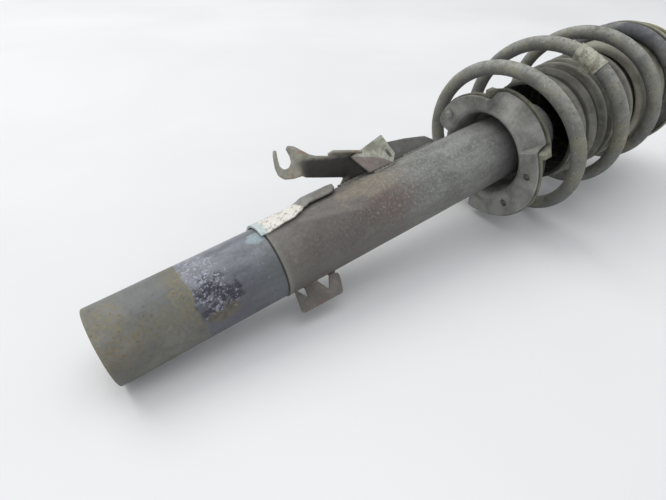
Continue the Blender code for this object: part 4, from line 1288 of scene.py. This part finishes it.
def stretching(name, rings, shares, material, replaces, angle=60.0, closed=False):
    """A lofted piece between the damper body and the upper seat.

    The shares, one for each ring, are not used.
    """
    count = len(rings[0])
    faces = []
    for k in range(len(rings) - 1):
        for i in range(count):
            j = (i + 1) % count
            faces.append((k * count + i, k * count + j, (k + 1) * count + j, (k + 1) * count + i))
    if closed:
        last = len(rings) - 1
        faces += [
            (last * count + i, last * count + (i + 1) % count, (i + 1) % count, i) for i in range(count)
        ]
    else:
        faces.append(tuple(range(count))[::-1])
        faces.append(tuple((len(rings) - 1) * count + i for i in range(count)))
    obj = piece(name, rest_mesh(name, rings, faces, angle), material, None, replaces)
    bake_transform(obj)


def coil_spring():
    count = 316
    turns = [mix(FIRST_TURN, LAST_TURN, i / count) for i in range(count + 1)]
    points = [coil_point(t) for t in turns]
    ups = [coil_out(t) for t in turns]

    def lump(i, a):
        return 0.10 * noise.noise(Vector((i * 0.35, cos(a) * 1.3, sin(a) * 1.3)))

    rings = capped(wire_rings(points, WIRE_R, 22, ups, lump), points)
    shares = [coil_share(turns[0])] + [coil_share(t) for t in turns] + [1.0]
    stretching("spring_wire", rings, shares, SPRING, ["coil_spring"])


def spring_tag():
    """A blank sleeve stuck round the second coil, with a loose end inside the coil."""
    count = 40
    turns = [mix(*TAG_TURNS, i / count) for i in range(count + 1)]
    points = [coil_point(t) for t in turns]
    ups = [coil_out(t) for t in turns]

    def lump(i, a):
        crease = 0.22 * noise.noise(Vector((i * 0.30, cos(a) * 2.0, sin(a) * 2.0)))
        ridge = 0.16 * sin(i * 0.75 + 2.0 * a)
        end = 0.35 * (1 - smooth(min(i, count - i) / 3.0))
        return crease + ridge * 0.6 + end

    outer = wire_rings(points, WIRE_R + 0.75, 28, ups, lump)
    inner = wire_rings(points, WIRE_R + 0.22, 28, ups)
    shares = [coil_share(t) for t in turns]
    stretching(
        "marking_sleeve", outer + inner[::-1], shares + shares[::-1], TAG, ["spring_tag"],
        50.0, closed=True,
    )
    middle = mix(*TAG_TURNS, 0.55)
    rings = []
    for i in range(13):
        turn = mix(TAG_TURNS[0] + 0.018, TAG_TURNS[1] - 0.012, i / 12)
        centre, out = coil_point(turn), coil_out(turn)
        ahead = (coil_point(turn + 0.002) - coil_point(turn - 0.002)).normalized()
        side = ahead.cross(out).normalized()
        front, back = [], []
        for k in range(9):
            t = k / 8
            curl = 0.9 * sin(t * 2.6 + i * 0.25)
            reach = (WIRE_R - 0.4) + t * (9.5 - 0.6 * (i % 3))
            base = centre - out * reach * MM - side * (1.8 + curl) * MM
            front.append(base - side * 0.2 * MM)
            back.append(base + side * 0.2 * MM)
        rings.append(front + back[::-1])
    stretching("marking_sleeve_flap", rings, [coil_share(middle)] * 13, TAG, (), 50.0)


# ------------------------------------------------- upper seat, boot, bump stop


def upper_seat():
    rim, rise = HUB_X, HUB_X + 55.5
    lip = span("upper_spring_seat")[2] - 0.6
    outer, inner, neck = 54.0, 51.4, 50.6
    outline = [
        (rise + 2.5, 16.0), (rise + 2.5, lip - 1.5), (rise + 1.0, lip + 0.6), (rise - 2.4, lip + 0.6),
        (rise - 2.4, lip - 1.4), (rise, lip - 2.0), (rise, neck), (rise - 15.0, neck), (rise - 29.0, outer),
        (rim + 7.0, outer - 0.3), (rim + 1.8, outer - 1.2), (rim, outer - 5.0), (rim + 1.8, outer - 6.8),
        (rim + 4.2, outer - 4.6), (rim + 7.0, inner), (rise - 28.5, inner), (rise - 14.5, neck - 2.6),
        (rise, neck - 2.6), (rise, 16.0),
    ]
    sizes = [
        0.3, 1.4, 1.4, 0.9, 0.9, 1.0, 3.0, 12.0, 12.0, 3.5, 3.5, 2.6, 1.0, 1.0, 1.5, 12.0, 12.0, 1.0, 0.3,
    ]

    def wobble(x, clock, r):
        return 0.16 * noise.noise(Vector((x * 0.03, sin(radians(clock)) * 1.5, cos(radians(clock)) * 1.5)))

    mesh = lathe_mesh("upper_seat", filleted(outline, sizes, 4), 112, wobble)
    drains = [tangent_frame(clock, rim + 17.0, outer - 1.0) for clock in (-60.0, 60.0, 180.0)]
    mesh = cut(mesh, [cylinder_at(drain, 2.6, 9.0, 24) for drain in drains])
    piece("upper_pan", mesh, HUB, "upper_seat", ["upper_spring_seat"])


def upper_pad():
    top = span("upper_spring_pad")[1]
    outline = filleted([
        (top, 50.9), (top, 61.0), (top - 2.6, 61.0), (top - 2.9, 55.4), (top - 4.5, 53.8),
        (top - 9.0, 52.2), (top - 9.0, 50.9),
    ], [0.3, 1.0, 1.0, 1.5, 2.0, 0.6, 0.3], 3)
    mesh = lathe_mesh("upper_pad", outline, 112, lambda x, c, r: 0.15 * sin(radians(c * 7)) * (r > 58))
    piece("upper_pad", mesh, TOP_PAD, "upper_seat", ["upper_spring_pad"])


def dust_boot():
    x0 = BOOT_X
    neck = HUB_X + 5.0
    top = neck + 14.0
    line = [(x0, 46.0), (x0 + 1.2, 47.3), (x0 + 3.4, 47.5), (x0 + 5.6, 46.2), (x0 + 8.0, 47.0)]
    rib_count, pitch = 6, 13.2
    for i in range(rib_count):
        crest = min(49.8 + 1.7 * i, 52.8)
        start = x0 + 8.0 + i * pitch
        line += [
            (start + 0.20 * pitch, 47.6), (start + 0.36 * pitch, crest - 0.9), (start + 0.50 * pitch, crest),
            (start + 0.64 * pitch, crest - 0.9), (start + 0.82 * pitch, 47.6), (start + 1.0 * pitch, 46.0),
        ]
    line += [(neck - 2.0, 46.4), (neck + 5.0, 46.4), (neck + 8.0, 49.8), (neck + 11.0, 50.2), (top, 49.8)]
    outer = curve_through(line, 4)
    inner = [(x, r - 1.7) for x, r in outer if x < top - 3.0][::-1]
    outline = outer + [(top, 33.0), (top - 2.0, 33.0), (top - 2.0, 48.2)] + inner
    segments = 96
    rings = []
    for i in range(segments):
        clock = 360.0 * i / segments
        ring = []
        for x, r in outline:
            uneven = 0.35 * noise.noise(Vector((x * 0.03, sin(radians(clock)), cos(radians(clock)) + 5.0)))
            ring.append(Vector((x, *around(clock, r + uneven))) * MM)
        rings.append(ring)
    count = len(outline)
    faces = []
    for i in range(segments):
        j = (i + 1) % segments
        for k in range(count):
            m = (k + 1) % count
            faces.append((i * count + k, i * count + m, j * count + m, j * count + k))
    mesh = rest_mesh("dust_boot", rings, faces, 55.0)
    obj = piece("bellows_boot", mesh, BOOT, None, ["dust_boot"])
    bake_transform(obj)


def bump_stop():
    low, high, _ = span("bump_stop")
    bore = 11.3
    line = [
        (low, 15.8), (low + 1.0, 18.0), (low + 3.0, 20.0), (low + 8.0, 21.4), (low + 11.0, 19.6),
        (low + 13.0, 18.2), (low + 15.0, 20.4), (low + 18.0, 23.2), (low + 24.0, 24.5), (low + 27.5, 22.6),
        (low + 30.0, 20.7), (low + 32.5, 23.2), (low + 36.0, 26.0), (low + 44.0, 26.9), (high, 27.0),
    ]
    outline = [(low, bore)] + curve_through(line, 4) + [(high, bore)]
    mesh = lathe_mesh("bump_stop", outline, 72)
    stop = piece("foam_stop", mesh, FOAM, "upper_seat", ["bump_stop"])


# ---------------------------------------------------------------------- bearing


def bearing():
    mean = span("bearing_lower_race")[2] - 6.0
    for node, material, name, body, flip in (
        ("bearing_lower_race", STEEL, "lower_race", "upper_seat", False),
        ("bearing_upper_race", STEEL, "upper_race", "top_mount", True),
    ):
        low, high, _ = span(node)
        groove = [
            (high - 1.0 * sin(pi * k / 8), mean + 2.4 * cos(pi * k / 8)) for k in range(9)
        ]
        outline = [(low, mean + 6.0), (high, mean + 6.0), *groove, (high, mean - 6.0), (low, mean - 6.0)]
        if flip:
            outline = [(low + high - x, r) for x, r in outline]
        outline = filleted(outline, [0.6, 0.6] + [0.0] * 9 + [0.6, 0.6], 3)
        piece(name, lathe_mesh(name, outline, 112), material, body, [node])
    low, high, _ = span("bearing_cage")
    outline = filleted([(low, mean - 5.0), (low, mean + 5.0), (high, mean + 5.0), (high, mean - 5.0)], 0.5, 3)
    centre_x = (low + high) / 2
    clocks = [45.0 * i for i in range(8)]
    cutters = [cylinder_at(across_frame(c, centre_x, mean), 3.4, 8.0, 24) for c in clocks]
    cage = cut(lathe_mesh("cage", outline, 96), cutters)
    piece("ball_cage", cage, NYLON, "bearing_rolling", ["bearing_cage"])
    balls = []
    for clock in clocks:
        bm = bmesh.new()
        bmesh.ops.create_uvsphere(bm, u_segments=24, v_segments=14, radius=3.0 * MM)
        bm.transform(shift_to(centre_x, clock, mean))
        balls.append(to_mesh("ball", bm, 80.0))
    nodes = [f"bearing_ball_{n}" for n in range(1, 9)]
    piece("bearing_balls", merged("balls", balls, 80.0), STEEL, "bearing_rolling", nodes)


# -------------------------------------------------------------------- top mount

STUD_CLOCKS = (30.0, 150.0, 270.0)
STUD_PITCH_R = 51.0


def mount_plate():
    low, _, edge = span("mount_plate")
    outline = [
        (low, 40.4), (low, edge - 1.0), (low + 1.3, edge), (low + 2.6, edge - 1.0), (low + 2.6, 44.4),
        (low + 4.2, 43.0), (low + 20.0, 43.0), (low + 22.6, 40.6), (low + 22.6, 28.0), (low + 20.2, 28.0),
        (low + 20.2, 40.4),
    ]
    sizes = [0.4, 0.8, 0.8, 0.8, 2.4, 1.5, 2.5, 2.5, 0.6, 0.6, 1.0]
    pressed = lathe_mesh("mount_plate", resampled(filleted(outline, sizes, 4), 2.0), 144)
    for vertex in pressed.vertices:
        _, y, z = vertex.co / MM
        r, clock = sqrt(y * y + z * z), atan2(y, z) * 180 / pi
        if r < 45.0:
            continue
        between = abs(((clock - 90.0) % 120.0) - 60.0)
        rib = smooth((r - 45.4) / 2.2) * smooth((56.5 - r) / 2.2)
        rib *= smooth((between - 26.0) / 4.0) * smooth((46.0 - between) / 4.0)
        vertex.co.x -= 1.0 * rib * MM
    cutters = [cylinder_at(across_frame(c, low + 1.3, STUD_PITCH_R), 5.3, 9.0, 32) for c in STUD_CLOCKS]
    mesh = cut(pressed, cutters)
    piece("mount_shell", mesh, MOUNT, "top_mount", ["mount_plate"])


def mount_studs():
    for number, clock in enumerate(STUD_CLOCKS, start=1):
        head = filleted([
            (-5.0, 0.0), (-5.0, 6.0), (-4.0, 7.0), (-0.3, 7.0), (-0.3, 5.2), (3.4, 5.2), (5.4, 4.7),
            (5.4, 0.0),
        ], 0.6, 3, False)
        shank = thread_mesh("thread", 5.0, 32.4, 4.95, 1.5, 0.75)
        tip = filleted([(32.0, 0.0), (32.0, 4.3), (34.0, 3.4), (34.0, 0.0)], 0.4, 3, False)
        mesh = merged("stud", [lathe_mesh("head", head, 40), shank, lathe_mesh("tip", tip, 40)], 40.0)
        mesh.transform(shift_to(MOUNT_X, clock, STUD_PITCH_R))
        piece(f"stud_{number}", mesh, ZINC, "top_mount", [f"mount_stud_{number}"])


def mount_bush():
    x = MOUNT_X
    outline = filleted([
        (x + 0.6, 20.4), (x + 0.6, 24.5), (x + 3.4, 27.5), (x + 3.4, 34.0), (x + 0.6, 36.6), (x + 0.6, 40.0),
        (x + 19.8, 40.0), (x + 19.8, 32.0), (x + 16.6, 29.4), (x + 16.6, 25.0), (x + 19.8, 22.0),
        (x + 19.8, 20.4),
    ], 1.6, 4)
    mesh = lathe_mesh("mount_bush", outline, 96)
    piece("mount_bush", mesh, BUSH, "top_mount", ["mount_rubber"])
    low, high, rim = span("mount_core")
    outline = filleted([
        (low, 7.3), (low, rim - 1.4), (low + 1.4, rim), (high - 1.4, rim), (high, rim - 1.4), (high, 7.3),
    ], 0.5, 3)
    piece("mount_core", lathe_mesh("core", outline, 72), STEEL, "top_mount", ["mount_core"])


def rod_fixings():
    low, _, rim = span("rod_washer")
    outline = filleted([
        (low, 7.3), (low, rim - 2.0), (low + 1.4, rim), (low + 4.0, rim), (low + 3.0, rim - 3.6),
        (low + 2.9, 7.3),
    ], 0.6, 3)
    piece("rod_washer", lathe_mesh("washer", outline, 96), ZINC, "top_mount", ["rod_washer"])
    low, high, _ = span("rod_nut")
    corner = 12.0 / cos(pi / 6)
    middle = (low + high) / 2
    hexagon = cylinder_at(across_frame(0.0, middle, 0.0), corner, high - low, 6)
    hexagon.name = "rod_nut"
    cone = filleted([
        (low - 0.1, 0.0), (low - 0.1, 12.6), (low + 1.4, corner + 0.2), (high - 1.4, corner + 0.2),
        (high + 0.1, 12.2), (high + 0.1, 0.0),
    ], 0.5, 3, False)
    nut = cut(hexagon, [lathe_mesh("cone", cone, 96)], "INTERSECT", 25.0)
    nut = cut(nut, [cylinder_at(across_frame(0.0, middle, 0.0), 7.25, 30.0, 48)], "DIFFERENCE", 25.0)
    piece("rod_nut", nut, ZINC, "top_mount", ["rod_nut"])


def piston_rod():
    low, high, _ = span("piston_rod")
    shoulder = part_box("mount_core")[0].x / MM - 0.3
    body = filleted([
        (low, 0.0), (low, 5.0), (low + 1.0, 6.0), (low + 27.6, 6.0), (low + 27.6, 11.0), (shoulder, 11.0),
        (shoulder, 7.0), (shoulder + 26.0, 7.0), (shoulder + 26.0, 6.0), (shoulder + 26.2, 0.0),
    ], [0, 0.4, 0.4, 0.3, 0.8, 0.8, 0.2, 0.2, 0.2, 0], 3, False)
    shaft = lathe_mesh("rod", resampled(body, 20.0, False), 72)
    thread = thread_mesh("rod_thread", shoulder + 25.6, high - 1.4, 6.95, 1.5, 0.8)
    tip = filleted([(high - 1.8, 0.0), (high - 1.8, 6.2), (high, 5.2), (high, 0.0)], 0.4, 3, False)
    socket = cylinder_at(across_frame(0.0, high, 0.0), 3.4, 9.0, 6)
    end = cut(lathe_mesh("tip", tip, 48), [socket], angle=30.0)
    mesh = merged("piston_rod", [shaft, thread, end], 40.0)
    piece("rod_shaft", mesh, CHROME, "top_mount", ["piston_rod"])


def carried_nodes():
    """Procedural finishes for the inner CAD nodes that stay as they are."""
    finishes = {
        "base_valve": STEEL, "pressure_tube": STEEL, "rod_guide": STEEL, "rod_seal": BUSH, "piston": STEEL,
        "piston_ring": NYLON, "piston_nut": STEEL, "rebound_stop": NYLON,
    }
    for node, material in finishes.items():
        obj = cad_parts[node]
        for holder in obj.material_slots:
            holder.material = material


# ------------------------------------------------------- stage, light and camera

FLOOR_DROP = 0.4
FLOOR_HALF = 6.0
SKY_COLOUR = (0.95, 0.97, 1.0, 1.0)
SKY_STRENGTH = 0.66
LIT_POINT = (0.28, 0.0, 0.0)
# name, offset in metres along X, along Y and off the floor, size in metres, watts, colour
LAMPS = (
    ("key", (-0.7, 1.7, 2.4), 2.0, 35.0, (1.0, 0.985, 0.96)),
    ("top", (0.3, 0.0, 3.0), 2.8, 25.0, (0.95, 0.98, 1.0)),
    ("fill", (-1.6, -2.2, 1.3), 2.4, 6.0, (0.97, 0.98, 1.0)),
)
CAMERA_AT = (0.04021, -0.23739, 0.22193)
CAMERA_FORWARD = (0.37122, 0.65083, -0.66228)
CAMERA_UP = (0.43437, 0.50868, 0.74335)
SENSOR_MM, LENS_MM = 36.0, 24.63


def touching_tilt():
    """The slope of the surface that carries the tube's end and the lowest coil."""
    end_z = -CLAMP_R
    slope = 0.0
    for i in range(400):
        point = coil_point(mix(0.0, LAST_TURN, i / 399)) / MM
        drop = end_z - (point.z - WIRE_R)
        if point.x > 0:
            slope = max(slope, drop / point.x)
    return atan(slope)


def stage():
    tilt = touching_tilt()
    bm = bmesh.new()
    bmesh.ops.create_grid(bm, x_segments=2, y_segments=2, size=FLOOR_HALF)
    drop = Matrix.Translation((0.0, 0.0, (-CLAMP_R - FLOOR_DROP) * MM))
    bm.transform(drop @ Matrix.Rotation(tilt, 4, "Y"))
    mesh = bare_mesh("floor", bm)
    floor_obj = bpy.data.objects.new("floor", mesh)
    SCENE.collection.objects.link(floor_obj)
    s = Surface("floor_white", specular=0.25)
    cloud = s.noise(420.0, 3.0, 0.5, 0.4)
    colour = s.blend(s.ramp(cloud, 0.3, 0.7), (0.73, 0.735, 0.74), (0.78, 0.782, 0.785))
    mesh.materials.append(s.done(colour, 0.6))

    world = bpy.data.worlds.new("studio")
    SCENE.world = world
    world.use_nodes = True
    sky = world.node_tree.nodes["Background"]
    sky.inputs["Color"].default_value = SKY_COLOUR
    sky.inputs["Strength"].default_value = SKY_STRENGTH
    up = Vector((sin(tilt), 0.0, cos(tilt)))
    centre = Vector(LIT_POINT)
    for name, (ahead, aside, above), size, power, tint in LAMPS:
        data = bpy.data.lights.new(name, "AREA")
        data.shape = "DISK"
        data.size = size
        data.energy = power
        data.color = tint
        lamp = bpy.data.objects.new(name, data)
        SCENE.collection.objects.link(lamp)
        lamp.location = centre + Vector((ahead, aside, 0.0)) + above * up
        lamp.rotation_mode = "QUATERNION"
        lamp.rotation_quaternion = (centre - lamp.location).to_track_quat("-Z", "Y")
    SCENE.view_settings.view_transform = "Standard"


def camera():
    data = bpy.data.cameras.new("camera")
    data.sensor_width = SENSOR_MM
    data.lens = LENS_MM
    data.clip_start = 0.01
    obj = bpy.data.objects.new("camera", data)
    SCENE.collection.objects.link(obj)
    forward = Vector(CAMERA_FORWARD).normalized()
    right = forward.cross(Vector(CAMERA_UP)).normalized()
    up = right.cross(forward).normalized()
    turn = Matrix((right, up, -forward)).transposed().to_4x4()
    obj.matrix_world = Matrix.Translation(CAMERA_AT) @ turn
    SCENE.camera = obj


for build in (
    damper_tube, base_cup, locating_plate, hose_bracket, bracket_gusset, bracket_back_plate, sensor_clip,
    weld_beads, lower_seat, lower_pad, coil_spring, spring_tag, upper_seat, upper_pad, dust_boot, bump_stop,
    bearing, mount_plate, mount_studs, mount_bush, rod_fixings, piston_rod, carried_nodes, stage, camera,
):
    build()
